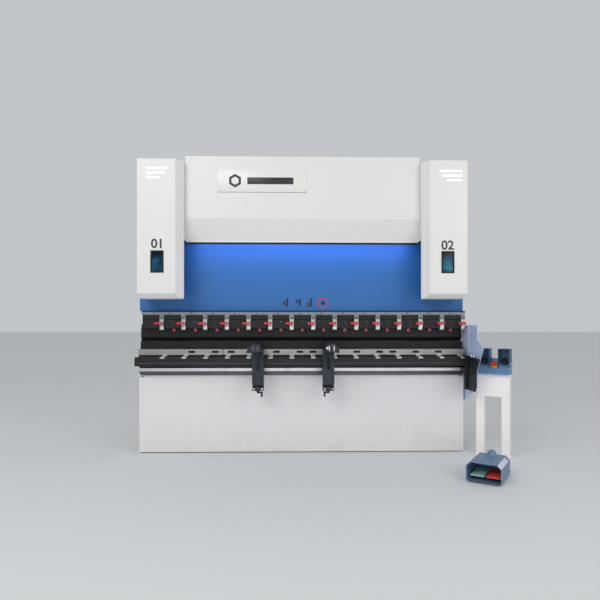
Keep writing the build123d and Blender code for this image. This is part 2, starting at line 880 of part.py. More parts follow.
# ---------------------------------------------------------------- back gauge
gauge_rail_x = (frame_inner - 40, frame_inner)
gauge_rail_z = (640.0, 680.0)
gauge_span = (bed_rear + 60, 330.0)
gauge_screw_x = frame_inner - 75
gauge_screw_z = 655.0
gauge_screw_radius = 10.0
bearing_length = 22.0
with BuildPart() as gauge_rails:
    for sign in (-1, 1):
        block(sided(sign, *gauge_rail_x), gauge_span, gauge_rail_z)
        for low in (gauge_span[0], gauge_span[1] - bearing_length):
            block(
                sided(sign, gauge_screw_x - 22, gauge_rail_x[0]),
                (low, low + bearing_length),
                span(gauge_screw_z, 46),
            )
            bar_along_y(
                sign * gauge_screw_x, (low - 1, low + bearing_length + 1), gauge_screw_z,
                gauge_screw_radius + pin_gap, mode=Mode.SUBTRACT,
            )
save(gauge_rails, "gauge_rails")

for sign, name in ((-1, "left_gauge_screw"), (1, "right_gauge_screw")):
    with BuildPart() as gauge_screw:
        bar_along_y(sign * gauge_screw_x, (gauge_span[0] - 4, gauge_span[1] + 34), gauge_screw_z,
                    gauge_screw_radius)
        bar_along_y(sign * gauge_screw_x, (gauge_span[1] + slide_gap, gauge_span[1] + 22),
                    gauge_screw_z, 28)
        bar_along_y(sign * gauge_screw_x, (gauge_span[0] - 8, gauge_span[0] - slide_gap),
                    gauge_screw_z, 16)
    save(gauge_screw, name)

gauge_post_radius = 12.0
gauge_post_x = frame_inner - 22
gauge_posts_top = 930.0
carriage_z = (gauge_rail_z[1] + slide_gap, gauge_rail_z[1] + 40)
with BuildPart() as gauge_carriage:
    for sign in (-1, 1):
        block(sided(sign, gauge_screw_x - 20, frame_inner - 4), span(0, 120), carriage_z)
        block(sided(sign, gauge_screw_x - 20, gauge_rail_x[0] - slide_gap), span(0, 50),
              (gauge_screw_z - 20, carriage_z[0]))
        bar_along_y(sign * gauge_screw_x, (-26, 26), gauge_screw_z, gauge_screw_radius + 0.4,
                    mode=Mode.SUBTRACT)
        post(sign * gauge_post_x, 0, (carriage_z[1], gauge_posts_top), gauge_post_radius)
    block((-gauge_screw_x, gauge_screw_x), (24, 54), (carriage_z[0] + 4, carriage_z[1]))
save(gauge_carriage, "gauge_carriage")

beam_z = (790.0, 830.0)
beam_depth = 44.0
with BuildPart() as gauge_beam:
    block((-frame_inner + 4, frame_inner - 4), span(0, beam_depth), beam_z)
    for sign in (-1, 1):
        post(sign * gauge_post_x, 0, beam_z, gauge_post_radius + pin_gap, mode=Mode.SUBTRACT)
save(gauge_beam, "gauge_beam")

finger_place = 400.0
finger_reach = 250.0
for sign, name in ((-1, "left_finger"), (1, "right_finger")):
    with BuildPart() as finger:
        across = span(sign * finger_place, 80)
        grip = beam_depth / 2 + slide_gap
        block(across, (-grip - 16, grip + 16), (beam_z[0], beam_z[1] + 16))
        block(across, (-grip, grip), (beam_z[0] - 1, beam_z[1] + slide_gap), mode=Mode.SUBTRACT)
        block(span(sign * finger_place, 32), (-finger_reach, -grip - 16), (beam_z[1], beam_z[1] + 14))
        block(span(sign * finger_place, 32), (-finger_reach, -finger_reach + 8),
              (beam_z[1], beam_z[1] + 30))
    save(finger, name)

# ---------------------------------------------------------------- operator console
# Drawn square about its own middle, then turned to face an operator in front of the machine.
console_on = standing_at(console_place, console_turn)
console_x = span(0, console_width)
console_y = span(0, console_depth)
with BuildPart() as console_stand:
    for low in (console_x[0], console_x[1] - console_leg):
        block((low, low + console_leg), console_y, (0, console_panel_bottom))
    block(console_x, console_y, (console_panel_bottom, console_panel_top))
save(console_stand, "console_stand", console_on)

# Sloping box on the stand: low at the operator's side, high behind.
slope_low = (console_y[0] - console_overhang, console_box_low)
slope_high = (console_y[1] + console_overhang, console_box_back)
slope_run = slope_high[0] - slope_low[0]
slope_rise = slope_high[1] - slope_low[1]
stop_x = (hood_places[0] + hood_places[1]) / 2
button_seat = 0.66         # how far up the slope the buttons stand
stop_seat = 0.5
button_stem = 11.0
stop_stem = 8.0
stem_depth = 8.0


def slope_plane(x, share):
    """Plane on the sloping face, at x and at a share of the slope from its front edge."""
    origin = (x, slope_low[0] + share * slope_run, slope_low[1] + share * slope_rise)
    return Plane(origin=origin, x_dir=(1, 0, 0), z_dir=(0, -slope_rise, slope_run))


with BuildPart() as console_box:
    prism(
        (console_x[0] - 2, console_x[1] + 2),
        (
            (slope_low[0], console_panel_top),
            slope_low,
            slope_high,
            (slope_high[0], console_panel_top),
        ),
    )
    for place, share, radius in (
        (hood_places[0], button_seat, button_stem),
        (hood_places[1], button_seat, button_stem),
        (stop_x, stop_seat, stop_stem),
    ):
        with BuildSketch(slope_plane(place, share)):
            Circle(radius + slide_gap)
        extrude(amount=-2 * stem_depth, mode=Mode.SUBTRACT)
save(console_box, "console_box", console_on)

# Guard hoods over the two palm buttons, open to the operator.
hood_y = (console_y[0] + 8, slope_high[0])
hood_z = (console_panel_top + 8, console_box_back + hood_button_height)
with BuildPart() as button_hoods:
    for place in hood_places:
        block(span(place, hood_button_width), hood_y, hood_z)
        block(
            span(place, hood_button_width - 2 * hood_button_wall),
            (hood_y[0] - 1, hood_y[1] - hood_button_wall),
            (hood_z[0] - 1, hood_z[1] - hood_button_wall),
            mode=Mode.SUBTRACT,
        )
    below = hood_z[0] - 50
    extended = 20.0
    lower_end = slope_low[1] - extended * slope_rise / slope_run
    prism(
        (console_x[0] - 10, console_x[1] + 10),
        (
            (slope_low[0] - extended, below),
            (slope_low[0] - extended, lower_end),
            slope_high,
            (slope_high[0] + 5, slope_high[1]),
            (slope_high[0] + 5, below),
        ),
        mode=Mode.SUBTRACT,
    )
save(button_hoods, "button_hoods", console_on)

for place, name in zip(hood_places, ("left_palm_button", "right_palm_button")):
    with BuildPart(slope_plane(place, button_seat)) as palm_button:
        with Locations((0, 0, 5)):
            Cylinder(button_stem, 2 * (5 + stem_depth))
        with Locations((0, 0, 24)):
            Cylinder(button_radius, 12)
    save(palm_button, name, console_on)

with BuildPart(slope_plane(stop_x, stop_seat)) as estop_collar:
    with Locations((0, 0, 4)):
        Cylinder(stop_radius + 4, 8)
        Cylinder(stop_stem + slide_gap, 8, mode=Mode.SUBTRACT)
save(estop_collar, "estop_collar", console_on)

with BuildPart(slope_plane(stop_x, stop_seat)) as estop_button:
    with Locations((0, 0, 5)):
        Cylinder(stop_stem, 2 * (5 + stem_depth))
    with Locations((0, 0, 24)):
        Cylinder(stop_radius, 12)
save(estop_button, "estop_button", console_on)

# ---------------------------------------------------------------- foot switch
# Drawn square to the floor, then turned to stand at an angle beside the console.
pedal_on = standing_at(pedal_place, pedal_turn)
treadle_width = (pedal_width - 2 * pedal_wall - 30) / 2
treadle_pivot = (pedal_depth / 2 - 75, 34.0)
treadle_rod = 4.0


def pedal_outline(inset):
    """Front outline of the housing, with cut corners."""
    half = pedal_width / 2 - inset
    corner = pedal_corner - 0.4 * inset
    foot = pedal_foot_corner - 0.4 * inset
    low, high = inset, pedal_height - inset
    return (
        (-half + foot, low), (-half, low + foot), (-half, high - corner), (-half + corner, high),
        (half - corner, high), (half, high - corner), (half, low + foot), (half - foot, low),
    )


with BuildPart() as pedal_shell:
    for inset, mode, start in ((0.0, Mode.ADD, 0.0), (pedal_wall, Mode.SUBTRACT, -1.0)):
        depth = pedal_depth - start - 4 * inset
        with BuildSketch(Plane.XZ.offset(-start + pedal_depth / 2)):
            with BuildLine():
                Polyline(*pedal_outline(inset), close=True)
            make_face()
        extrude(amount=-depth, mode=mode)
    # hinge rod of the treadles, from side wall to side wall
    bar_along_x(span(0, pedal_width - 2), treadle_pivot[0], treadle_pivot[1], treadle_rod)
save(pedal_shell, "pedal_housing", pedal_on)

# Two treadles side by side on one hinge line at the back of the housing.
for side, name in ((-1, "left_pedal"), (1, "right_pedal")):
    with BuildPart() as treadle:
        middle = side * (treadle_width / 2 + 5)
        block(span(middle, treadle_width), (-pedal_depth / 2 + 45, treadle_pivot[0]), (30, 38))
        bar_along_x(span(middle, treadle_width), treadle_pivot[0], treadle_pivot[1], 9)
        bar_along_x(span(middle, treadle_width), treadle_pivot[0], treadle_pivot[1],
                    treadle_rod + pin_gap, mode=Mode.SUBTRACT)
    save(treadle, name, pedal_on)
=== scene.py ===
from math import cos, pi, radians, sin

import bmesh
import bpy
from mathutils import Matrix, Vector


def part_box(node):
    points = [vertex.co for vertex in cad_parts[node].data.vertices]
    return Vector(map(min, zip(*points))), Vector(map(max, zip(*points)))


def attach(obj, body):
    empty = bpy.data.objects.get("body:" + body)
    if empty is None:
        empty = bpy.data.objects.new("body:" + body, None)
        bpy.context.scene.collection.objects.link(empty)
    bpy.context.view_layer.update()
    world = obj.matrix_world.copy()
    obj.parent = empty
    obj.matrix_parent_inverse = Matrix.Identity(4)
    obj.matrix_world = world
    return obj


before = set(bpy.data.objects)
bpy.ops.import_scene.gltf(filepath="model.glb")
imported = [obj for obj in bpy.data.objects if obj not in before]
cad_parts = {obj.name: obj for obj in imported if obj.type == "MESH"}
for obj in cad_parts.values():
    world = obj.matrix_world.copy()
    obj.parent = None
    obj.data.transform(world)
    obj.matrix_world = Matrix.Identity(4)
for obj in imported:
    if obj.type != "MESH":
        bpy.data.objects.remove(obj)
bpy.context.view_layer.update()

# ------------ painted plate
# Side frames, bed, tank and soles are flame-cut plate, blasted and sprayed satin light grey.
# The coat clouds a little, has a fine peel and goes thin and pale along sheared edges.


def tone(red, green, blue):
    """Colour of a finish, given on the usual 0 to 255 scale, as linear light."""
    parts = [value / 255 for value in (red, green, blue)]
    return (*[c / 12.92 if c <= 0.04045 else ((c + 0.055) / 1.055) ** 2.4 for c in parts], 1.0)


def effect_group(name, setting, value, outputs):
    """Empty shader group: a vector and one setting go in, plain numbers come out."""
    group = bpy.data.node_groups.new(name, "ShaderNodeTree")
    add_socket = group.interface.new_socket
    add_socket(name="Vector", in_out="INPUT", socket_type="NodeSocketVector")
    kind = "NodeSocketFloat" if isinstance(value, float) else "NodeSocketVector"
    add_socket(name=setting, in_out="INPUT", socket_type=kind).default_value = value
    for label in outputs:
        add_socket(name=label, in_out="OUTPUT", socket_type="NodeSocketFloat")
    start = group.nodes.new("NodeGroupInput")
    end = group.nodes.new("NodeGroupOutput")
    return group, start, end


def noise_in(tree, vector, scale, detail, roughness=0.5):
    """Noise texture fed by a vector socket, with its scale from a number or a socket."""
    noise = tree.nodes.new("ShaderNodeTexNoise")
    noise.inputs["Detail"].default_value = detail
    noise.inputs["Roughness"].default_value = roughness
    tree.links.new(vector, noise.inputs["Vector"])
    if isinstance(scale, (int, float)):
        noise.inputs["Scale"].default_value = scale
    else:
        tree.links.new(scale, noise.inputs["Scale"])
    return noise.outputs["Fac"]


def math_in(tree, operation, *values):
    """Math node whose inputs are numbers or sockets."""
    node = tree.nodes.new("ShaderNodeMath")
    node.operation = operation
    for slot, value in zip(node.inputs, values):
        if isinstance(value, (int, float)):
            slot.default_value = value
        else:
            tree.links.new(value, slot)
    return node.outputs[0]


def stretch_in(tree, value, low, high, out_low, out_high):
    """Map Range node, clamped."""
    node = tree.nodes.new("ShaderNodeMapRange")
    tree.links.new(value, node.inputs["Value"])
    for label, number in zip(("From Min", "From Max", "To Min", "To Max"), (low, high, out_low, out_high)):
        node.inputs[label].default_value = number
    return node.outputs["Result"]


def blend_in(tree, share, first, second):
    """Colour mix of two colours or sockets by a share."""
    node = tree.nodes.new("ShaderNodeMix")
    node.data_type = "RGBA"
    for slot, value in zip((node.inputs[0], node.inputs[6], node.inputs[7]), (share, first, second)):
        if isinstance(value, bpy.types.NodeSocket):
            tree.links.new(value, slot)
        else:
            slot.default_value = value
    return node.outputs[2]


def build_sprayed_skin():
    """Clouding of the sprayed coat, its orange peel and thin handling marks."""
    group, start, end = effect_group("sprayed_skin", "Cloud Scale", 2.0, ("Cloud", "Peel", "Marks"))
    vector = start.outputs["Vector"]
    group.links.new(noise_in(group, vector, start.outputs["Cloud Scale"], 5.0), end.inputs["Cloud"])
    group.links.new(noise_in(group, vector, 420.0, 1.0), end.inputs["Peel"])
    marks = noise_in(group, vector, 9.0, 8.0, 0.75)
    group.links.new(stretch_in(group, marks, 0.60, 0.72, 0.0, 1.0), end.inputs["Marks"])
    return group


def build_worn_edge():
    """Mask that is 1 along convex edges, broken up by noise."""
    group, start, end = effect_group("worn_edge", "Reach", 0.003, ("Mask",))
    rounded = group.nodes.new("ShaderNodeBevel")
    rounded.samples = 4
    group.links.new(start.outputs["Reach"], rounded.inputs["Radius"])
    flat = group.nodes.new("ShaderNodeNewGeometry")
    turn = group.nodes.new("ShaderNodeVectorMath")
    turn.operation = "DOT_PRODUCT"
    group.links.new(rounded.outputs["Normal"], turn.inputs[0])
    group.links.new(flat.outputs["Normal"], turn.inputs[1])
    bend = math_in(group, "SUBTRACT", 1.0, turn.outputs["Value"])
    chips = noise_in(group, start.outputs["Vector"], 70.0, 4.0, 0.6)
    broken = math_in(group, "MULTIPLY", stretch_in(group, bend, 0.02, 0.2, 0.0, 1.0),
                     stretch_in(group, chips, 0.42, 0.62, 0.0, 1.0))
    group.links.new(broken, end.inputs["Mask"])
    return group


def build_floor_dust():
    """Share of settled dust: more near the floor and on faces that look up."""
    group, start, end = effect_group("floor_dust", "Height", 0.25, ("Dust",))
    split = group.nodes.new("ShaderNodeSeparateXYZ")
    group.links.new(start.outputs["Vector"], split.inputs["Vector"])
    near = math_in(group, "SUBTRACT", 1.0, math_in(group, "DIVIDE", split.outputs["Z"],
                                                  start.outputs["Height"]))
    low = math_in(group, "MAXIMUM", near, 0.0)
    facing = group.nodes.new("ShaderNodeNewGeometry")
    rise = group.nodes.new("ShaderNodeSeparateXYZ")
    group.links.new(facing.outputs["Normal"], rise.inputs["Vector"])
    up = stretch_in(group, rise.outputs["Z"], 0.6, 1.0, 0.0, 0.6)
    patch = stretch_in(group, noise_in(group, start.outputs["Vector"], 12.0, 6.0, 0.65), 0.4, 0.7, 0.2, 1.0)
    group.links.new(math_in(group, "MULTIPLY", math_in(group, "MAXIMUM", low, up), patch),
                    end.inputs["Dust"])
    return group


sprayed_skin = build_sprayed_skin()
worn_edge = build_worn_edge()
floor_dust = build_floor_dust()
dust_tone = tone(168, 164, 156)


def place_effect(tree, group, vector, **values):
    """Shader group placed in a material, with its own values."""
    node = tree.nodes.new("ShaderNodeGroup")
    node.node_tree = group
    tree.links.new(vector, node.inputs["Vector"])
    for label, number in values.items():
        node.inputs[label.replace("_", " ").title()].default_value = number
    return node


def blank_finish(name):
    """New material with its tree, its Principled shader and its object coordinates."""
    material = bpy.data.materials.new(name)
    material.use_nodes = True
    tree = material.node_tree
    place = tree.nodes.new("ShaderNodeTexCoord").outputs["Object"]
    return material, tree, tree.nodes["Principled BSDF"], place


def relief_in(tree, shader, height, strength, distance):
    """Bump from a height socket into the shader's normal."""
    bump = tree.nodes.new("ShaderNodeBump")
    bump.inputs["Strength"].default_value = strength
    bump.inputs["Distance"].default_value = distance
    tree.links.new(height, bump.inputs["Height"])
    tree.links.new(bump.outputs["Normal"], shader.inputs["Normal"])


def shaded(colour, share):
    """A colour made darker or lighter by a share."""
    return tuple(min(1.0, c * share) for c in colour[:3]) + (1.0,)


def painted(name, colour, roughness=0.42, shade=0.93, wear=0.35, clouds=1.6, coat=0.0, dust=0.3):
    """Sprayed paint: clouded colour, orange peel, dull marks, pale worn edges, dust low down."""
    material, tree, shader, place = blank_finish(name)
    skin = place_effect(tree, sprayed_skin, place, cloud_scale=clouds)
    edge = place_effect(tree, worn_edge, place, reach=0.003)
    settled = place_effect(tree, floor_dust, place)
    share = stretch_in(tree, skin.outputs["Cloud"], 0.3, 0.7, 0.0, 1.0)
    cloudy = blend_in(tree, share, colour, shaded(colour, shade))
    marked = blend_in(tree, math_in(tree, "MULTIPLY", skin.outputs["Marks"], 0.25), cloudy,
                      shaded(colour, shade * 0.9))
    pale = tuple(min(1.0, c * 1.1 + 0.03) for c in colour[:3]) + (1.0,)
    worn = blend_in(tree, math_in(tree, "MULTIPLY", edge.outputs["Mask"], wear), marked, pale)
    dusty = blend_in(tree, math_in(tree, "MULTIPLY", settled.outputs["Dust"], dust), worn, dust_tone)
    tree.links.new(dusty, shader.inputs["Base Color"])
    dull = math_in(tree, "ADD", math_in(tree, "MULTIPLY", share, 0.12),
                   math_in(tree, "MULTIPLY", skin.outputs["Marks"], 0.08))
    tree.links.new(math_in(tree, "ADD", dull, roughness - 0.06), shader.inputs["Roughness"])
    relief_in(tree, shader, skin.outputs["Peel"], 0.12, 0.0004)
    shader.inputs["Coat Weight"].default_value = coat
    shader.inputs["Coat Roughness"].default_value = 0.2
    return material


def dress(node, material, bevel=0.0015, segments=2):
    """Gives a CAD node its finish and takes the knife edge off its corners."""
    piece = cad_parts[node]
    piece.data.materials.clear()
    piece.data.materials.append(material)
    weld = piece.modifiers.new("weld", "WELD")
    weld.merge_threshold = 0.00002
    edges = piece.modifiers.new("edges", "BEVEL")
    edges.width = bevel
    edges.segments = segments
    edges.limit_method = "ANGLE"
    edges.angle_limit = radians(35)
    edges.harden_normals = True


def box_in(shape, low, high, bevel=0.0, segments=2):
    """Adds a box between two corners, with its edges broken."""
    low, high = Vector(low), Vector(high)
    place = Matrix.Translation((low + high) / 2) @ Matrix.Diagonal((*(high - low), 1))
    verts = bmesh.ops.create_cube(shape, size=1, matrix=place)["verts"]
    if bevel:
        edges = list({edge for vert in verts for edge in vert.link_edges})
        bmesh.ops.bevel(shape, geom=edges, offset=bevel, segments=segments, profile=0.5,
                        affect="EDGES", material=-1)


def rod_in(shape, start, end, radius, tip=None, sides=32, bevel=0.0):
    """Adds a round bar or cone between two points, its rims broken; returns its far cap."""
    start, end = Vector(start), Vector(end)
    turn = (end - start).to_track_quat("Z", "Y").to_matrix().to_4x4()
    place = Matrix.Translation((start + end) / 2) @ turn
    verts = bmesh.ops.create_cone(shape, cap_ends=True, segments=sides, radius1=radius,
                                  radius2=radius if tip is None else tip,
                                  depth=(end - start).length, matrix=place)["verts"]
    faces = {face for vert in verts for face in vert.link_faces}
    caps = [face for face in faces if len(face.verts) == sides]
    if bevel:
        rims = list({edge for face in caps for edge in face.edges})
        bmesh.ops.bevel(shape, geom=rims, offset=bevel, segments=2, profile=0.5,
                        affect="EDGES", material=-1)
    return min(caps, key=lambda face: (face.calc_center_median() - end).length) if not bevel else None


def screw_in(shape, seat, out, radius, socket=True):
    """Adds a screw head on its washer: round with a key socket, or hexagon."""
    seat, out = Vector(seat), Vector(out).normalized()
    rod_in(shape, seat, seat + out * 0.2 * radius, radius * 1.3, sides=24)
    top = seat + out * radius * (1.15 if socket else 0.85)
    if not socket:
        rod_in(shape, seat, top, radius, sides=6, bevel=radius * 0.06)
        return
    cap = rod_in(shape, seat, top, radius, sides=24)
    bmesh.ops.inset_individual(shape, faces=[cap], thickness=radius * 0.42, depth=0.0)
    bmesh.ops.inset_individual(shape, faces=[cap], thickness=radius * 0.02, depth=-radius * 0.5)


into_scene = bpy.context.scene.collection.objects.link


def finished(name, shape, finish, body="base", place=None):
    """Sets a shape in place and closes it as an object, dressed and riding on its body."""
    if place is not None:
        shape.transform(place)
    bmesh.ops.recalc_face_normals(shape, faces=shape.faces)
    data = bpy.data.meshes.new(name)
    shape.to_mesh(data)
    shape.free()
    data.materials.append(finish)
    data.shade_smooth()
    data.set_sharp_from_angle(angle=radians(32))
    piece = bpy.data.objects.new(name, data)
    into_scene(piece)
    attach(piece, body)


def screws(name, seats, out, radius, finish, body="base", socket=True, place=None):
    """A set of equal screw heads as one piece."""
    shape = bmesh.new()
    for seat in seats:
        screw_in(shape, seat, out, radius, socket)
    finished(name, shape, finish, body, place)


frame_grey = painted("frame_grey", tone(208, 209, 210), roughness=0.45)
bed_grey = painted("bed_grey", tone(224, 222, 223), roughness=0.40, shade=0.97, clouds=0.9)
for node in ("left_side_frame", "right_side_frame", "rear_tie_beam", "oil_tank", "cylinder_brackets",
             "sole_plates"):
    dress(node, frame_grey, 0.002)
dress("bed_beam", bed_grey, 0.0025)

# ------------ bright and blackened steel
# Ground and polished steel show fine lines along their length. Tools are blacked in hot
# oxide, which stays a little blue and rubs bright on corners.


def build_grinding():
    """Fine lines along one direction, and soft stains."""
    group, start, end = effect_group("grinding", "Lines", (3.0, 500.0, 500.0), ("Line", "Stain"))
    lay = group.nodes.new("ShaderNodeVectorMath")
    lay.operation = "MULTIPLY"
    group.links.new(start.outputs["Vector"], lay.inputs[0])
    group.links.new(start.outputs["Lines"], lay.inputs[1])
    group.links.new(noise_in(group, lay.outputs["Vector"], 1.0, 3.0), end.inputs["Line"])
    group.links.new(noise_in(group, start.outputs["Vector"], 14.0, 5.0, 0.6), end.inputs["Stain"])
    return group


grinding = build_grinding()
along_x = (3.0, 600.0, 600.0)
along_y = (600.0, 3.0, 600.0)
along_z = (600.0, 600.0, 3.0)


def metal(name, colour, roughness, lines=along_x, metallic=1.0, bright=1.25, wear=0.5, relief=0.15):
    """Machined metal with grinding lines, stains and rubbed corners."""
    material, tree, shader, place = blank_finish(name)
    grain = place_effect(tree, grinding, place)
    grain.inputs["Lines"].default_value = lines
    edge = place_effect(tree, worn_edge, place, reach=0.002)
    share = stretch_in(tree, grain.outputs["Line"], 0.3, 0.7, 0.0, 1.0)
    stain = stretch_in(tree, grain.outputs["Stain"], 0.45, 0.75, 0.0, 1.0)
    lined = blend_in(tree, share, shaded(colour, 0.82), colour)
    stained = blend_in(tree, math_in(tree, "MULTIPLY", stain, 0.4), lined, shaded(colour, 0.75))
    rubbed = tuple(min(1.0, c * bright + 0.06) for c in colour[:3]) + (1.0,)
    worn = blend_in(tree, math_in(tree, "MULTIPLY", edge.outputs["Mask"], wear), stained, rubbed)
    tree.links.new(worn, shader.inputs["Base Color"])
    shader.inputs["Metallic"].default_value = metallic
    dull = math_in(tree, "ADD", math_in(tree, "MULTIPLY", share, 0.1),
                   math_in(tree, "MULTIPLY", stain, 0.1))
    tree.links.new(math_in(tree, "ADD", dull, roughness - 0.05), shader.inputs["Roughness"])
    relief_in(tree, shader, grain.outputs["Line"], relief, 0.0002)
    return material


ground_steel = metal("ground_steel", tone(190, 190, 190), 0.36, metallic=0.75)
polished_steel = metal("polished_steel", tone(228, 230, 232), 0.2, relief=0.08)
shaft_steel = metal("shaft_steel", tone(222, 224, 228), 0.18, lines=along_y, relief=0.08)
rod_chrome = metal("rod_chrome", tone(225, 227, 230), 0.12, lines=along_z, relief=0.04)
screw_steel = metal("screw_steel", tone(205, 205, 205), 0.3, lines=(90.0, 90.0, 90.0))
oxide_black = metal("oxide_black", tone(14, 15, 18), 0.5, metallic=0.2, bright=2.2, wear=0.4)
tool_black = metal("tool_black", tone(21, 22, 26), 0.42, metallic=0.5, bright=2.5, wear=0.5)
rail_black = metal("rail_black", tone(24, 26, 31), 0.4, metallic=0.4, bright=2.0, wear=0.4)
arm_black = metal("arm_black", tone(36, 45, 54), 0.42, lines=along_z, metallic=0.3, bright=1.8, wear=0.4)
# This black serves gaskets, pads and joints, and also as painted shade in the holder's slots, under the ram's
# strip and under the centre cover's lip.
black_and_shade = metal("black_and_shade", tone(16, 17, 19), 0.6, metallic=0.2, bright=1.5, wear=0.2)

dress("die_table", oxide_black, 0.001)
holder_steel = metal("holder_steel", tone(158, 156, 153), 0.38, metallic=0.75)
dress("die_holder", holder_steel, 0.001)
dress("lower_die", tool_black, 0.0006)
dress("front_rail", rail_black, 0.0015)
bar_steel = metal("bar_steel", tone(208, 209, 212), 0.34, metallic=0.8)
dress("guide_bar", bar_steel, 0.003)


def boxes(name, corners, bevel, finish, body="base", place=None):
    """A piece made of boxes between pairs of corners."""
    shape = bmesh.new()
    for low, high in corners:
        box_in(shape, low, high, bevel)
    finished(name, shape, finish, body, place)


def rods(name, bars, radius, finish, slot, body="base", place=None, **form):
    """A piece made of equal round bars between pairs of points."""
    shape = bmesh.new()
    for start, end in bars:
        rod_in(shape, start, end, radius, **form)
    finished(name, shape, finish, body, place)


# Black blocks fill the holder's front slots as painted shade, and key bolts sit on them. A dark line
# marks the joint between the holder's two lengths.
holder_low, holder_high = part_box("die_holder")
slot_z = holder_low.z + 0.55 * (holder_high.z - holder_low.z)
slot_middles = (-0.84, -0.662, -0.542, -0.4, -0.198, -0.02, 0.082, 0.415, 0.59, 0.69, 0.868, 1.04)
boxes("holder_slot_shade", [((x - 0.0245, holder_low.y + 0.002, slot_z - 0.008),
                        (x + 0.0245, holder_low.y + 0.0118, slot_z + 0.008)) for x in slot_middles],
      0.0015, black_and_shade)
seats = [(x - 0.012, holder_low.y + 0.002, slot_z) for x in slot_middles]
screws("holder_slot_bolts", seats, (0, -1, 0), 0.0042, black_and_shade)
boxes("holder_joint", [((-0.6062, holder_low.y - 0.0004, holder_low.z + 0.001),
                        (-0.6038, holder_low.y + 0.003, holder_high.z - 0.0005))],
      0.0, black_and_shade)

# Bright brackets hold the rail to the table a little inside every clamp gap, each with a thin
# lip over the rail's front edge.
clamp_pitch = 0.1643
clamp_gaps = [(number - 6.5) * clamp_pitch for number in range(15)]
rail_low, rail_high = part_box("front_rail")
bed_low, bed_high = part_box("bed_beam")
bracket_half = 0.017
bracket_spread = 0.978
bracket_middles = [gap * bracket_spread for gap in clamp_gaps]
brackets = bmesh.new()
for x in bracket_middles:
    box_in(brackets, (x - bracket_half, rail_high.y - 0.105, rail_high.z),
           (x + bracket_half, rail_high.y - 0.026, rail_high.z + 0.0035), 0.0008)
    box_in(brackets, (x - bracket_half, rail_low.y - 0.0002, rail_high.z - 0.010),
           (x + bracket_half, rail_low.y + 0.001, rail_high.z + 0.0002), 0.0001)
    box_in(brackets, (x - bracket_half, holder_low.y - 0.004, rail_high.z + 0.001),
           (x + bracket_half, holder_low.y + 0.001, holder_low.z + 0.006), 0.0008)
finished("table_brackets", brackets, ground_steel)
seats = [(x, rail_high.y - 0.075, rail_high.z + 0.0035) for x in bracket_middles]
screws("table_bracket_bolts", seats, (0, 0, 1), 0.005, screw_steel)

# Moulded caps close the rail's ends, a scale strip lies in its front groove, and a grey strip
# over its back leg under the guide bar is painted shade below the bar.
caps = bmesh.new()
box_in(caps, (rail_low.x - 0.006, rail_low.y + 0.001, rail_high.z - 0.066),
       (rail_low.x, rail_high.y - 0.012, rail_high.z - 0.001), 0.0028, 4)
box_in(caps, (rail_high.x, rail_low.y + 0.001, rail_high.z - 0.066),
       (rail_high.x + 0.006, rail_high.y - 0.012, rail_high.z - 0.001), 0.002)
finished("rail_caps", caps, rail_black)
# This grey serves the scale strip, pins and studs, and also as painted shade under the guide bar and the name
# plate.
scale_and_shade_grey = metal("scale_and_shade_grey", tone(96, 98, 100), 0.4, metallic=0.5)
boxes("rail_scale", [((rail_low.x + 0.004, rail_low.y + 0.0016, rail_high.z - 0.047),
                      (rail_high.x - 0.004, rail_low.y + 0.0036, rail_high.z - 0.0428))],
      0.0003, scale_and_shade_grey)
boxes("bar_shade_strip", [((-1.234, bed_low.y - 0.0212, 0.598), (1.234, bed_low.y - 0.0198, 0.6285))],
      0.0004, scale_and_shade_grey)

# Small black screws pin the bed's face plate at its upper corners, and lifting plugs close
# the threaded holes in its ends.
bed_pins = [(side * (bed_high.x - inset), bed_low.y, 0.587) for side in (-1, 1) for inset in (0.018, 0.034)]
screws("bed_pins", bed_pins, (0, -1, 0), 0.004, scale_and_shade_grey)
plug_y = -0.48
plugs = [((side * bed_high.x, plug_y, z), (side * (bed_high.x + 0.004), plug_y, z))
         for side in (-1, 1) for z in (0.16, 0.62)]
rods("bed_plugs", plugs, 0.02, oxide_black, "black_steel", bevel=0.001)

# Hexagon bolts through the side frames hold the tie beam, the tank and the gauge rails.
both_sides = ((-1, "left"), (1, "right"))
frame_low, frame_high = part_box("left_side_frame")
tie_low, tie_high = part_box("rear_tie_beam")
tank_low, tank_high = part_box("oil_tank")
for side, label in both_sides:
    face = side * -frame_low.x
    seats = [(face, y, z) for y in (tie_low.y + 0.014, tie_high.y - 0.014)
             for z in (tie_low.z + 0.03, (tie_low.z + tie_high.z) / 2, tie_high.z - 0.03)]
    seats += [(face, y, z) for y in (tank_low.y + 0.04, 0.12, tank_high.y - 0.04)
              for z in (tank_low.z + 0.04, tank_low.z + 0.30)]
    seats += [(face, y, 0.655) for y in (-0.09, 0.1, 0.3)]
    screws(f"{label}_frame_bolts", seats, (side, 0, 0), 0.013, screw_steel, socket=False)


def ring_in(shape, centre, axis, big, small, sides=40, rings=16):
    """Adds a torus about an axis through its centre."""
    centre, axis = Vector(centre), Vector(axis).normalized()
    across = axis.orthogonal().normalized()
    first = bmesh.ops.create_circle(shape, cap_ends=False, segments=rings, radius=small,
                                    matrix=Matrix.Translation(centre + across * big)
                                    @ axis.cross(across).to_track_quat("Z", "Y").to_matrix().to_4x4())
    edges = list({edge for vert in first["verts"] for edge in vert.link_edges})
    bmesh.ops.spin(shape, geom=first["verts"] + edges, cent=centre, axis=axis, angle=2 * pi,
                   steps=sides, use_merge=True, use_duplicate=False)


eye_y = -0.2
eyes = bmesh.new()
for side in (-1, 1):
    x = side * -(frame_low.x + frame_high.x) / 2
    rod_in(eyes, (x, eye_y, frame_high.z), (x, eye_y, frame_high.z + 0.012), 0.024, bevel=0.002)
    ring_in(eyes, (x, eye_y, frame_high.z + 0.036), (1, 0, 0), 0.022, 0.007)
finished("lifting_eyes", eyes, oxide_black)

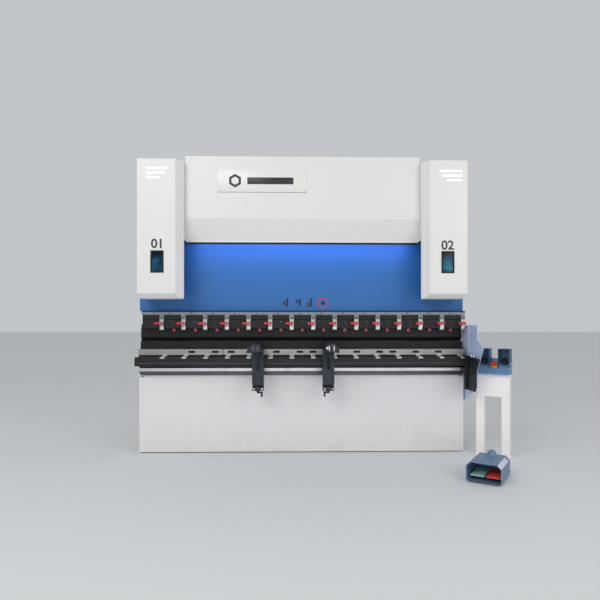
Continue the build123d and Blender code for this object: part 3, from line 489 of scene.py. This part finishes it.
# ------------ front support arms
# Each arm is a blackened column with a forward bar, on a carriage that hangs on the rail.
# A crank under the foot turns the height screw; a silver knob locks the second arm's stop.
for number in (1, 2):
    side = 1 if number == 1 else -1
    dress(f"arm_carriage_{number}", arm_black, 0.0015)
    dress(f"support_arm_{number}", arm_black, 0.002)
    dress(f"arm_crank_{number}", arm_black, 0.001)
    arm_low, arm_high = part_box(f"support_arm_{number}")
    middle = (arm_low.x + arm_high.x) / 2
    grooves = bmesh.new()
    for x in (middle - 0.016, middle + 0.016):
        box_in(grooves, (x - 0.0035, arm_low.y - 0.0015, arm_high.z - 0.04),
               (x + 0.0035, arm_low.y, arm_high.z - 0.005), 0.0005)
        box_in(grooves, (x - 0.0035, arm_low.y + 0.01, arm_high.z - 0.0005),
               (x + 0.0035, arm_low.y + 0.36, arm_high.z + 0.0008), 0.0003)
    inlay_finish = scale_and_shade_grey if number == 1 else screw_steel
    finished(f"arm_inlays_{number}", grooves, inlay_finish, f"arm_{number}")
    near = middle - side * 0.03
    ends = sorted((near, near - side * 0.022))
    boxes(f"arm_stop_{number}", [((ends[0], arm_low.y + 0.004, arm_high.z - 0.052),
                                  (ends[1], arm_low.y + 0.06, arm_high.z - 0.012))],
          0.002, arm_black, f"arm_{number}")
    if number == 2:
        knob = bmesh.new()
        x = middle - 0.031
        z = arm_high.z - 0.02
        rod_in(knob, (x, arm_low.y + 0.012, z), (x, arm_low.y - 0.004, z), 0.005)
        rod_in(knob, (x, arm_low.y - 0.003, z), (x, arm_low.y - 0.016, z), 0.010, bevel=0.002)
        finished("arm_knob_2", knob, screw_steel, "arm_2")
    column_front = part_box(f"arm_carriage_{number}")[0].y
    seats = [(middle + across, column_front, z) for across in (-0.024, 0.024) for z in (0.59, 0.77)]
    screws(f"arm_screws_{number}", seats, (0, -1, 0), 0.006, oxide_black, f"arm_{number}")
    seats = [(middle + across, column_front, 0.514) for across in (-0.03, 0.03)]
    screws(f"foot_screws_{number}", seats, (0, -1, 0), 0.0045, screw_steel,
           f"carriage_{number}")

# ------------ parked carriage
# A third carriage waits at the rail's right end, its reaching plate cut back below. Two
# bright screws on top clamp it.
dress("parked_carriage", oxide_black, 0.0015)
parked_low, parked_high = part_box("parked_carriage")
seats = [(parked_high.x - 0.010, y, parked_high.z) for y in (parked_low.y + 0.10, parked_low.y + 0.15)]
screws("parked_top_screws", seats, (0, 0, 1), 0.0095, polished_steel, "parked")

# ------------ ram and punch clamps
# The ram is one thick plate in satin blue. Small plain symbols and a red ring are printed on it.
# Blackened clamps grip the punch, with bright wedge housings and a red lever between them.
ram_blue = painted("ram_blue", tone(36, 102, 168), roughness=0.5, shade=0.95, clouds=0.8)
red_lacquer = painted("red_lacquer", tone(205, 26, 28), roughness=0.32, shade=0.9, coat=0.3, dust=0.1)
dress("ram_plate", ram_blue, 0.002)
strip_steel = metal("strip_steel", tone(132, 138, 146), 0.42, metallic=0.7)
dress("ram_strip", strip_steel, 0.001)
strip_low, strip_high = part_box("ram_strip")
# A black band along the strip's top, in the joint under the ram, is painted shade.
boxes("strip_shade_band", [((strip_low.x + 0.001, strip_low.y - 0.0006, strip_high.z - 0.0085),
                        (strip_high.x - 0.001, strip_low.y + 0.03, strip_high.z - 0.0004))],
      0.0003, black_and_shade, "ram")
dress("punch_clamps", oxide_black, 0.0015)
dress("clamp_wedges", ground_steel, 0.001)
dress("clamp_levers", red_lacquer, 0.002)
dress("clamp_screws", red_lacquer, 0.002)
dress("punch", tool_black, 0.0006)
dress("cylinder_rods", rod_chrome, 0.002)
dress("ram_guides", polished_steel, 0.001)

clamp_low, clamp_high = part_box("punch_clamps")
clamp_face = clamp_low.y
clamp_middles = [gap - clamp_pitch / 2 for gap in clamp_gaps[1:]]
seats = [(x + across, clamp_face, clamp_high.z - 0.018) for x in clamp_middles for across in (-0.042, 0.042)]
screws("clamp_bolts", seats, (0, -1, 0), 0.007, oxide_black, "ram")
seats = [(x, clamp_face, clamp_low.z + 0.048) for x in clamp_middles]
screws("clamp_studs", seats, (0, -1, 0), 0.0038, scale_and_shade_grey, "ram")
wedge_half = 0.0135
# The housings' upper plates and their screws take a darker grey than the bright lower plates: painted shade
# on the clamps' upper part.
shaded_keeper_grey = metal("shaded_keeper_grey", tone(120, 122, 126), 0.42, metallic=0.7)
boxes("wedge_plates", [((x - wedge_half, clamp_face - 0.003, clamp_low.z - 0.012),
                        (x + wedge_half, clamp_face + 0.001, clamp_low.z + 0.022)) for x in clamp_gaps],
      0.001, screw_steel, "ram")
boxes("wedge_keepers", [((x - wedge_half, clamp_face - 0.002, clamp_high.z - 0.034),
                         (x + wedge_half, clamp_face + 0.001, clamp_high.z - 0.004)) for x in clamp_gaps],
      0.001, shaded_keeper_grey, "ram")
seats = [(x, clamp_face - 0.002, clamp_high.z - 0.02) for x in clamp_gaps]
screws("wedge_screws", seats, (0, -1, 0), 0.0055, shaded_keeper_grey, "ram")

symbol_blue = painted("symbol_blue", tone(10, 28, 74), roughness=0.4, shade=0.9, dust=0.1)
ram_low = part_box("ram_plate")[0]
ram_face = ram_low.y
symbol_z = ram_low.z + 0.066
symbols = bmesh.new()
for x, height, lean in ((-0.126, 0.066, 0.0), (-0.028, 0.056, 0.012), (0.058, 0.064, -0.012)):
    box_in(symbols, (x - 0.001, ram_face - 0.0006, symbol_z - height / 2),
           (x + 0.0175, ram_face, symbol_z + height / 2), 0.0002)
    box_in(symbols, (x - 0.023, ram_face - 0.0006, symbol_z - 0.02 + lean),
           (x - 0.008, ram_face, symbol_z + 0.012 + lean), 0.0002)
finished("ram_symbols", symbols, symbol_blue, "ram")


def flat_ring(shape, centre, big, small, thick, sides=48):
    """Adds a flat ring that faces the operator."""
    rims = []
    for depth in (0.0, thick):
        for radius in (big, small):
            rims.append([shape.verts.new((centre[0] + radius * cos(2 * pi * n / sides), centre[1] - depth,
                                          centre[2] + radius * sin(2 * pi * n / sides)))
                         for n in range(sides)])
    for first, second in ((0, 2), (2, 3), (3, 1), (1, 0)):
        for n in range(sides):
            last = (n + 1) % sides
            shape.faces.new((rims[first][n], rims[first][last], rims[second][last], rims[second][n]))


ring_x = 0.159
ring_z = symbol_z - 0.004
ring = bmesh.new()
flat_ring(ring, (ring_x, ram_face, ring_z), 0.041, 0.034, 0.0008)
finished("ram_ring", ring, red_lacquer, "ram")
rods("ram_ring_mark", [((ring_x, ram_face, ring_z), (ring_x, ram_face - 0.0006, ring_z))],
     0.016, symbol_blue, "ram_paint", "ram")

# Socket screws draw the bright rail up against the ram.
seats = [(gap + 0.06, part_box("ram_strip")[0].y, clamp_high.z + 0.011) for gap in clamp_gaps[:-1]]
screws("strip_screws", seats, (0, -1, 0), 0.004, oxide_black, "ram")

# ------------ hydraulics
# Two cylinders stand on brackets on the frames; a motor and pump on the tank feed their
# valve blocks through bent steel pipes. Castings are grey, the motor blue.
cylinder_grey = painted("cylinder_grey", tone(60, 63, 68), roughness=0.4)
motor_blue = painted("motor_blue", tone(62, 92, 124), roughness=0.42)
cast_iron = painted("cast_iron", tone(92, 94, 96), roughness=0.6, shade=0.85)
dress("cylinders", cylinder_grey, 0.003)
dress("valve_blocks", ground_steel, 0.001)
dress("pump_motor", motor_blue, 0.003)
dress("hydraulic_pump", cast_iron, 0.003)
dress("linear_scales", rail_black, 0.001)


def shape_of(curve):
    """Mesh shape of a curve or a text, which is then removed."""
    holder = bpy.data.objects.new(curve.name, curve)
    into_scene(holder)
    data = bpy.data.meshes.new_from_object(holder)
    bpy.data.objects.remove(holder)
    bpy.data.curves.remove(curve)
    shape = bmesh.new()
    shape.from_mesh(data)
    bpy.data.meshes.remove(data)
    bmesh.ops.remove_doubles(shape, verts=shape.verts, dist=0.00001)
    return shape


def pipe(name, points, radius, bend, finish):
    """Bent pipe through points, its corners rounded."""
    path = [Vector(points[0])]
    for before, corner, after in zip(points, points[1:], points[2:]):
        before, corner, after = Vector(before), Vector(corner), Vector(after)
        start = corner + (before - corner).normalized() * bend
        end = corner + (after - corner).normalized() * bend
        for step in range(7):
            t = step / 6
            path.append(start * (1 - t) ** 2 + corner * 2 * t * (1 - t) + end * t ** 2)
    path.append(Vector(points[-1]))
    curve = bpy.data.curves.new(name, "CURVE")
    curve.dimensions = "3D"
    curve.bevel_depth = radius
    curve.bevel_resolution = 5
    curve.use_fill_caps = True
    line = curve.splines.new("POLY")
    line.points.add(len(path) - 1)
    for point, place in zip(line.points, path):
        point.co = (*place, 1)
    finished(name, shape_of(curve), finish)


motor_low, motor_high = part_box("pump_motor")
pump_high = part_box("hydraulic_pump")[1]
axis_y = 0.12
axis_z = 2.072
fins = bmesh.new()
for number in range(26):
    turn = 2 * pi * number / 26
    if sin(turn) < 0.45:
        continue
    fin = bmesh.new()
    box_in(fin, (motor_low.x + 0.06, -0.0016, 0.086), (motor_high.x - 0.03, 0.0016, 0.112), 0.0006)
    fin.transform(Matrix.Translation((0, axis_y, axis_z)) @ Matrix.Rotation(pi / 2 - turn, 4, "X"))
    strip_data = bpy.data.meshes.new("fin")
    fin.to_mesh(strip_data)
    fin.free()
    fins.from_mesh(strip_data)
    bpy.data.meshes.remove(strip_data)
finished("motor_fins", fins, motor_blue)
rods("fan_cowl", [((motor_low.x - 0.004, axis_y, axis_z), (motor_low.x + 0.055, axis_y, axis_z))],
     0.111, motor_blue, "motor_paint", sides=64, bevel=0.008)
grille = bmesh.new()
for radius in (0.03, 0.048, 0.066, 0.084):
    ring_in(grille, (motor_low.x - 0.0045, axis_y, axis_z), (1, 0, 0), radius, 0.002, sides=48, rings=8)
finished("fan_grille", grille, oxide_black)

valve_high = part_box("valve_blocks")[1]
pipe_top = 2.178
inlet_z = 2.118
for side, label in both_sides:
    x = side * (valve_high.x - 0.098)
    start = (pump_high.x - 0.13 + side * 0.02, axis_y, pump_high.z - 0.01)
    turn_y = -0.22 + side * 0.02
    pipe(f"{label}_pressure_pipe",
         [start, (start[0], axis_y, pipe_top), (start[0], turn_y, pipe_top),
          (x, turn_y, pipe_top), (x, turn_y, inlet_z), (x, valve_high.y - 0.004, inlet_z)],
         0.008, 0.03, screw_steel)
    nuts = [((x, valve_high.y, inlet_z), (x, valve_high.y + 0.018, inlet_z)),
            ((start[0], axis_y, pump_high.z), (start[0], axis_y, pump_high.z + 0.018))]
    rods(f"{label}_pipe_nuts", nuts, 0.0135, screw_steel, "ground_steel", sides=6, bevel=0.001)
    coil_x = side * 1.045
    coils = [((coil_x - 0.022, y - 0.022, valve_high.z), (coil_x + 0.022, y + 0.022, valve_high.z + 0.05))
             for y in (-0.53, -0.45)]
    boxes(f"{label}_valve_coils", coils, 0.003, oxide_black)

# The tank carries a filler cap, a level glass and a drain plug.
filler = (0.62, 0.12)
drain_x = -0.7
drain_z = tank_low.z + 0.04
cap = bmesh.new()
rod_in(cap, (*filler, tank_low.z + 0.335), (*filler, tank_high.z + 0.02), 0.03)
rod_in(cap, (*filler, tank_high.z + 0.02), (*filler, tank_high.z + 0.055), 0.042, bevel=0.006)
rod_in(cap, (drain_x, tank_high.y, drain_z), (drain_x, tank_high.y + 0.014, drain_z), 0.016, sides=6,
       bevel=0.001)
finished("tank_fittings", cap, oxide_black)
amber = bpy.data.materials.new("oil_amber")
amber.use_nodes = True
amber_shader = amber.node_tree.nodes["Principled BSDF"]
amber_shader.inputs["Base Color"].default_value = tone(196, 132, 40)
amber_shader.inputs["Roughness"].default_value = 0.12
amber_shader.inputs["Coat Weight"].default_value = 0.6
boxes("level_glass", [((0.792, tank_high.y + 0.004, tank_low.z + 0.12),
                       (0.808, tank_high.y + 0.012, tank_low.z + 0.26))],
      0.002, amber)
boxes("level_frame", [((0.784, tank_high.y, tank_low.z + 0.105),
                       (0.816, tank_high.y + 0.007, tank_low.z + 0.275))],
      0.002, oxide_black)

# ------------ covers
# White folded sheet covers hide the cylinders and the tank. Each side cover has a dark window with
# a painted teal glow and highlight in a rubber frame, an axis number and three light bars.
cover_white = painted("cover_white", tone(226, 225, 221), roughness=0.36, shade=0.975, clouds=0.7, coat=0.1)
for node in ("left_cover", "right_cover", "upper_cover"):
    dress(node, cover_white, 0.0025, 3)


def lamp_face(name, colour, strength):
    """Lit diffuser with small cells, a little uneven."""
    material, tree, shader, place = blank_finish(name)
    cell = place_effect(tree, sprayed_skin, place, cloud_scale=40.0)
    tree.links.new(blend_in(tree, cell.outputs["Cloud"], colour, shaded(colour, 0.8)),
                   shader.inputs["Emission Color"])
    shader.inputs["Emission Strength"].default_value = strength
    shader.inputs["Base Color"].default_value = colour
    return material


def painted_glow_window(name):
    """Dark glass with a painted teal highlight and glow across its middle, fading out towards the frame; the
    glass emits it itself.
    """
    material, tree, shader, place = blank_finish(name)
    cell = place_effect(tree, sprayed_skin, place, cloud_scale=16.0)
    split = tree.nodes.new("ShaderNodeSeparateXYZ")
    tree.links.new(place, split.inputs["Vector"])
    rise = stretch_in(tree, split.outputs["Z"], 1.37, 1.50, 1.0, 0.0)
    fall = stretch_in(tree, split.outputs["Z"], 1.35, 1.40, 0.0, 1.0)
    glow = math_in(tree, "MULTIPLY", math_in(tree, "MULTIPLY", rise, fall),
                   stretch_in(tree, cell.outputs["Cloud"], 0.35, 0.65, 0.2, 1.0))
    tree.links.new(blend_in(tree, glow, tone(5, 13, 30), tone(30, 110, 140)), shader.inputs["Base Color"])
    tree.links.new(blend_in(tree, glow, tone(2, 6, 18), tone(26, 110, 150)), shader.inputs["Emission Color"])
    shader.inputs["Emission Strength"].default_value = 0.35
    shader.inputs["Roughness"].default_value = 0.06
    shader.inputs["Specular IOR Level"].default_value = 0.2
    return material


# The windows' glass shows a painted teal glow and highlight, not light from inside.
dress("cover_windows", painted_glow_window("window_glass"), 0.001)
window_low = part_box("cover_windows")[0]
cover_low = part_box("left_cover")[0]
cover_face = cover_low.y
window_x = 1.047
gaskets = bmesh.new()
for side in (-1, 1):
    x = side * window_x
    for low, high in (((x - 0.047, 1.358), (x - 0.036, 1.517)), ((x + 0.036, 1.358), (x + 0.047, 1.517)),
                      ((x - 0.037, 1.358), (x + 0.037, 1.369)), ((x - 0.037, 1.506), (x + 0.037, 1.517))):
        box_in(gaskets, (low[0], cover_face - 0.002, low[1]), (high[0], window_low.y + 0.001, high[1]), 0.001)
finished("window_gaskets", gaskets, black_and_shade)

bar_white = lamp_face("bar_white", tone(255, 255, 255), 0.7)
bars = bmesh.new()
for side, reach, trim, drop in ((-1, 1.1235, 0.0145, 0.002), (1, 1.15, 0.0, 0.012)):
    for level, full in ((2.109, 0.166), (2.076, 0.144), (2.043, 0.108)):
        z = level - drop
        length = full - trim
        ends = sorted((side * reach, side * (reach - length)))
        box_in(bars, (ends[0], cover_face - 0.0012, z - 0.0058), (ends[1], cover_face, z + 0.0058), 0.0004)
finished("cover_bars", bars, bar_white)


def number_plate(name, text, place, size, finish):
    """Flat numeral on a face that looks at the operator."""
    curve = bpy.data.curves.new(name, "FONT")
    curve.body = text
    curve.size = size
    curve.extrude = 0.0004
    curve.offset = 0.002
    curve.align_x = "CENTER"
    curve.align_y = "CENTER"
    upright = Matrix.Translation(place) @ Matrix.Rotation(pi / 2, 4, "X")
    finished(name, shape_of(curve), finish, place=upright)


label_black = painted("label_black", tone(40, 42, 46), roughness=0.4, dust=0.0)
number_plate("left_number", "01", (-1.044, cover_face - 0.0004, 1.563), 0.092, label_black)
number_plate("right_number", "02", (1.045, cover_face - 0.0004, 1.557), 0.092, label_black)

# Raised louvres and button screws on the outer sides of the side covers.
louvres = bmesh.new()
for side in (-1, 1):
    face = side * -cover_low.x
    ends = sorted((face, face + side * 0.005))
    for number in range(9):
        z = 1.70 + 0.03 * number
        box_in(louvres, (ends[0], -0.71, z), (ends[1], -0.55, z + 0.010), 0.0024)
finished("cover_louvres", louvres, cover_white)
for side, label in both_sides:
    seats = [(side * -cover_low.x, -0.36, z) for z in (1.24, 1.45, 1.66, 1.87, 2.08)]
    screws(f"{label}_cover_screws", seats, (side, 0, 0), 0.005, screw_steel)

# A plain name plate without any name: pale panel, six-sided mark, plain bar, painted shadow line.
upper_low, upper_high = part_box("upper_cover")
plate_cream = painted("plate_cream", tone(229, 228, 222), roughness=0.34, shade=0.98, coat=0.3, dust=0.1)
boxes("name_plate", [((-0.626, upper_low.y - 0.002, 1.962), (0.026, upper_low.y, 2.128))],
      0.0008, plate_cream)
# A grey line under the plate is a painted shadow.
boxes("plate_shadow_line", [((-0.624, upper_low.y - 0.0014, 1.9595), (0.024, upper_low.y, 1.9615))],
      0.0003, scale_and_shade_grey)
mark_x = -0.5
mark_z = 2.045
mark = bmesh.new()
rod_in(mark, (mark_x, upper_low.y - 0.002, mark_z), (mark_x, upper_low.y - 0.0028, mark_z), 0.05, sides=6)
box_in(mark, (-0.41, upper_low.y - 0.0028, 2.02), (-0.07, upper_low.y - 0.002, 2.07), 0.0003)
finished("plate_mark", mark, label_black)
rods("plate_mark_top", [((mark_x, upper_low.y - 0.0028, mark_z), (mark_x, upper_low.y - 0.0034, mark_z))],
     0.03, plate_cream, "cover_paint", sides=6)
seats = [(x, upper_low.y - 0.002, z) for x in (-0.616, 0.016) for z in (1.972, 2.118)]
screws("plate_rivets", seats, (0, -1, 0), 0.0035, screw_steel)
seats = [(x, upper_low.y, 2.205) for x in (-0.82, -0.42, 0.42, 0.82)]
screws("hood_screws", seats, (0, -1, 0), 0.005, cover_white)

# The light strip under the centre cover's lip washes the ram with blue light. A white return
# and a black strip on the lip hide it from the front; the black strip is painted shade under the lip.
dress("led_strip", lamp_face("led_blue", tone(165, 185, 255), 19.0), 0.001)
lip_low, lip_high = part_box("led_strip")
boxes("hood_return", [((upper_low.x, lip_low.y - 0.0085, lip_low.z + 0.002),
                       (upper_high.x, lip_low.y - 0.005, lip_high.z + 0.002))],
      0.0006, cover_white)
boxes("hood_lip_shade", [((upper_low.x + 0.004, lip_low.y - 0.008, lip_low.z - 0.012),
                     (upper_high.x - 0.004, lip_low.y - 0.005, lip_low.z + 0.003))],
      0.0006, black_and_shade)

# ------------ side guard
# Thin pale blue-grey plate beyond the right end on two spacers, doubled along its upper
# rear part and held by hexagon bolts.
guard_blue = painted("guard_blue", tone(196, 212, 242), roughness=0.4)
dress("right_guard", guard_blue, 0.0008)
guard_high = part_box("right_guard")[1]
boxes("guard_doubler", [((guard_high.x - 0.0048, -0.629, 0.77), (guard_high.x - 0.003, -0.442, 0.976))],
      0.0005, guard_blue)
seats = [(guard_high.x, -0.48, z) for z in (0.45, 0.69)]
screws("guard_bolts", seats, (1, 0, 0), 0.01, screw_steel, socket=False)

# ------------ electric cabinet and rear doors
# Sheet cabinet on the right frame with a gasketed door, a quarter-turn lock, a main switch
# and louvres; two sheet doors close the lower back.
cabinet_grey = painted("cabinet_grey", tone(214, 214, 212), roughness=0.45)
safety_yellow = painted("safety_yellow", tone(236, 190, 26), roughness=0.35, dust=0.1)
for node in ("electric_cabinet", "cabinet_door", "left_rear_door", "right_rear_door"):
    dress(node, cabinet_grey, 0.0012)
door_face = 1.254
lock = bmesh.new()
box_in(lock, (door_face, -0.035, 1.21), (door_face + 0.006, -0.005, 1.33), 0.002)
box_in(lock, (door_face + 0.006, -0.028, 1.235), (door_face + 0.022, -0.012, 1.32), 0.004)
finished("cabinet_handle", lock, oxide_black, "cabinet_door")
boxes("switch_plate", [((door_face, 0.1, 1.48), (door_face + 0.004, 0.17, 1.55))],
      0.001, safety_yellow, "cabinet_door")
switch = bmesh.new()
rod_in(switch, (door_face + 0.004, 0.135, 1.515), (door_face + 0.016, 0.135, 1.515), 0.024, bevel=0.002)
box_in(switch, (door_face + 0.014, 0.128, 1.492), (door_face + 0.034, 0.142, 1.538), 0.003)
finished("main_switch", switch, red_lacquer, "cabinet_door")
vent_heights = [0.96 + 0.022 * number for number in range(8)]
boxes("cabinet_vents", [((door_face, 0.04, z), (door_face + 0.004, 0.23, z + 0.009)) for z in vent_heights],
      0.0019, cabinet_grey, "cabinet_door")
gland_x = 1.155
glands = bmesh.new()
for y in (0.02, 0.08, 0.14, 0.20):
    rod_in(glands, (gland_x, y, 0.9), (gland_x, y, 0.882), 0.014, sides=6, bevel=0.001)
    rod_in(glands, (gland_x, y, 0.884), (gland_x, y, 0.862), 0.011, tip=0.008)
finished("cabinet_glands", glands, oxide_black)

rear_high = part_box("right_rear_door")[1]
for side, label in both_sides:
    ends = sorted((side * 0.16, side * 0.9))
    rib_heights = [0.24 + 0.2 * number for number in range(3)]
    boxes(f"{label}_door_ribs", [((ends[0], rear_high.y, z), (ends[1], rear_high.y + 0.003, z + 0.03))
                                 for z in rib_heights],
          0.0028, cabinet_grey, f"door_{label}")
    pull = bmesh.new()
    x = side * 0.05
    for z in (0.44, 0.56):
        rod_in(pull, (x, rear_high.y, z), (x, rear_high.y + 0.03, z), 0.006)
    rod_in(pull, (x, rear_high.y + 0.03, 0.432), (x, rear_high.y + 0.03, 0.568), 0.007, bevel=0.002)
    finished(f"{label}_door_pull", pull, oxide_black, f"door_{label}")

# ------------ back gauge
# Ground rails, two ball screws driven by one motor and a flat belt, an aluminium beam on
# posts and two fingers with hardened tips.
mill_aluminium = metal("mill_aluminium", tone(196, 198, 202), 0.38)
for node in ("gauge_rails", "gauge_carriage", "left_finger", "right_finger"):
    dress(node, ground_steel, 0.001)
dress("gauge_beam", mill_aluminium, 0.0015)
dress("left_gauge_screw", shaft_steel, 0.0008)
dress("right_gauge_screw", shaft_steel, 0.0008)
servo = bmesh.new()
box_in(servo, (-0.985, 0.37, 0.622), (-0.905, 0.39, 0.688), 0.002)
box_in(servo, (-0.975, 0.39, 0.625), (-0.915, 0.485, 0.685), 0.006)
rod_in(servo, (-0.945, 0.485, 0.655), (-0.945, 0.5, 0.655), 0.024, bevel=0.003)
finished("gauge_motor", servo, oxide_black)
for label in ("left", "right"):
    tip_low, tip_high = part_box(f"{label}_finger")
    x = (tip_low.x + tip_high.x) / 2
    seats = [(x + across, -0.02, tip_low.z + 0.056) for across in (-0.024, 0.024)]
    screws(f"{label}_finger_screws", seats, (0, 0, 1), 0.005, oxide_black, f"finger_{label}")

# ------------ operator console
# Welded frame stand in off-white, a sloping blue-grey box, two navy hoods over black palm
# buttons and a red stop on a yellow collar. The whole console is turned to the operator.
stand_white = painted("stand_white", tone(250, 243, 240), roughness=0.4, shade=0.97)
console_blue = painted("console_blue", tone(98, 136, 174), roughness=0.4)
hood_navy = painted("hood_navy", tone(34, 78, 112), roughness=0.35)
palm_black = painted("palm_black", tone(26, 27, 30), roughness=0.3, dust=0.1)
dress("console_stand", stand_white, 0.004, 3)
dress("console_box", console_blue, 0.003)
dress("button_hoods", hood_navy, 0.001)
dress("estop_collar", safety_yellow, 0.001)
dress("estop_button", red_lacquer, 0.003, 3)
dress("left_palm_button", palm_black, 0.003, 3)
dress("right_palm_button", palm_black, 0.003, 3)
console_place = (1.43, -0.65, 0)
console_turn = radians(-35)
turned_console = Matrix.Translation(console_place) @ Matrix.Rotation(console_turn, 4, "Z")
boxes("console_feet", [((x - 0.036, -0.036, 0.0), (x + 0.036, 0.036, 0.006)) for x in (-0.092, 0.092)],
      0.002, stand_white, place=turned_console)
boxes("console_edging", [((-0.1215, -0.0285, 0.6135), (0.1215, -0.0265, 0.6175))],
      0.0008, black_and_shade, place=turned_console)
side_lilac = painted("side_lilac", tone(214, 214, 240), roughness=0.4)
boxes("console_side_cap", [((0.1196, -0.030, 0.632), (0.1208, 0.0255, 0.668)),
                           ((0.1196, 0.004, 0.667), (0.1208, 0.0255, 0.704))],
      0.0004, side_lilac, place=turned_console)
seats = [(x, -0.0275, z) for x in (-0.11, 0.11) for z in (0.47, 0.595)]
screws("console_screws", seats, (0, -1, 0), 0.0035, screw_steel, place=turned_console)

# ------------ foot switch
# Cast housing in blue-grey with cut corners, two ribbed treadles in teal and red, a grey sill
# along its mouth, a pale strip on one cut corner and a cable gland behind a raised boss.
pedal_blue = painted("pedal_blue", tone(86, 121, 155), roughness=0.45)
tread_teal = painted("tread_teal", tone(150, 206, 198), roughness=0.5)
tread_red = painted("tread_red", tone(250, 46, 40), roughness=0.5)
dress("pedal_housing", pedal_blue, 0.002)
dress("left_pedal", tread_teal, 0.001)
dress("right_pedal", tread_red, 0.001)
pedal_place = (1.18, -1.2, 0)
pedal_turn = radians(-33)
turned_pedal = Matrix.Translation(pedal_place) @ Matrix.Rotation(pedal_turn, 4, "Z")
boxes("pedal_sill", [((-0.085, -0.1415, 0.001), (0.085, -0.1405, 0.012))],
      0.0003, scale_and_shade_grey, place=turned_pedal)
gland = bmesh.new()
rod_in(gland, (0.002, 0.095, 0.124), (0.002, 0.095, 0.164), 0.04, 0.014, bevel=0.004)
rod_in(gland, (0.0, 0.138, 0.075), (0.0, 0.156, 0.075), 0.014, sides=6, bevel=0.001)
finished("pedal_gland", gland, pedal_blue, place=turned_pedal)
for side, label, finish, slot in ((-1, "left", tread_teal, "teal_pedal"),
                                  (1, "right", tread_red, "red_pedal")):
    middle = side * 0.04875
    rows = [-0.09 + 0.016 * number for number in range(7)]
    boxes(f"{label}_pedal_ribs", [((middle - 0.036, y, 0.0378), (middle + 0.036, y + 0.005, 0.0395))
                                  for y in rows],
          0.0006, finish, f"pedal_{label}", turned_pedal)
cut_corner = Matrix.Translation((0.0945, 0, 0.115)) @ Matrix.Rotation(radians(45), 4, "Y")
boxes("pedal_side_strip", [((-0.0165, -0.138, 0.0), (0.0165, 0.09, 0.0008))],
      0.0003, side_lilac, place=turned_pedal @ cut_corner)
pads = [((x, y, 0.0), (x, y, 0.004)) for x in (-0.078, 0.078) for y in (-0.11, 0.11)]
rods("pedal_pads", pads, 0.01, black_and_shade, "black_anodised", place=turned_pedal)

# ------------ floor, light and camera
# A plain pale floor, three soft panels ahead of the machine, one of them low, and a level
# camera at a standing person's chest height, a little left of the middle.
floor_pale = bpy.data.materials.new("floor_pale")
floor_pale.use_nodes = True
floor_shader = floor_pale.node_tree.nodes["Principled BSDF"]
floor_shader.inputs["Base Color"].default_value = tone(224, 226, 225)
floor_shader.inputs["Roughness"].default_value = 0.7
floor_shape = bmesh.new()
bmesh.ops.create_grid(floor_shape, x_segments=1, y_segments=1, size=40)
floor_data = bpy.data.meshes.new("floor")
floor_shape.to_mesh(floor_data)
floor_shape.free()
floor_data.materials.append(floor_pale)
floor = bpy.data.objects.new("floor", floor_data)
into_scene(floor)

world = bpy.data.worlds.new("studio")
world.use_nodes = True
sky = world.node_tree.nodes["Background"].inputs
sky["Color"].default_value = (0.93, 0.96, 1.0, 1.0)
sky["Strength"].default_value = 0.58
bpy.context.scene.world = world
bpy.context.scene.view_settings.view_transform = "Standard"


def soft_panel(name, place, target, size, power, colour=(1.0, 1.0, 1.0)):
    """Rectangular soft light aimed at a point."""
    lamp = bpy.data.lights.new(name, "AREA")
    lamp.shape = "RECTANGLE"
    lamp.size, lamp.size_y = size
    lamp.energy = power
    lamp.color = colour
    panel = bpy.data.objects.new(name, lamp)
    panel.location = place
    panel.rotation_euler = (Vector(target) - Vector(place)).to_track_quat("-Z", "Y").to_euler()
    into_scene(panel)


soft_panel("key_panel", (-3.0, -6.0, 4.5), (0, -0.5, 1.1), (4.0, 3.0), 134)
soft_panel("fill_panel", (4.0, -6.0, 3.0), (0, -0.5, 1.1), (3.0, 3.0), 67)
soft_panel("low_panel", (0.3, -6.0, 0.35), (0.3, -0.5, 0.3), (5.0, 0.7), 32)

camera_data = bpy.data.cameras.new("camera")
camera_data.sensor_width = 36.0
camera_data.lens = 31.2
camera_data.shift_y = 20 / 600
camera = bpy.data.objects.new("camera", camera_data)
camera_height = 1.019
camera_distance = 4.0
camera.location = (-0.1, bed_low.y - camera_distance, camera_height)
camera.rotation_euler = (pi / 2, 0, -radians(1.17))
into_scene(camera)
bpy.context.scene.camera = camera
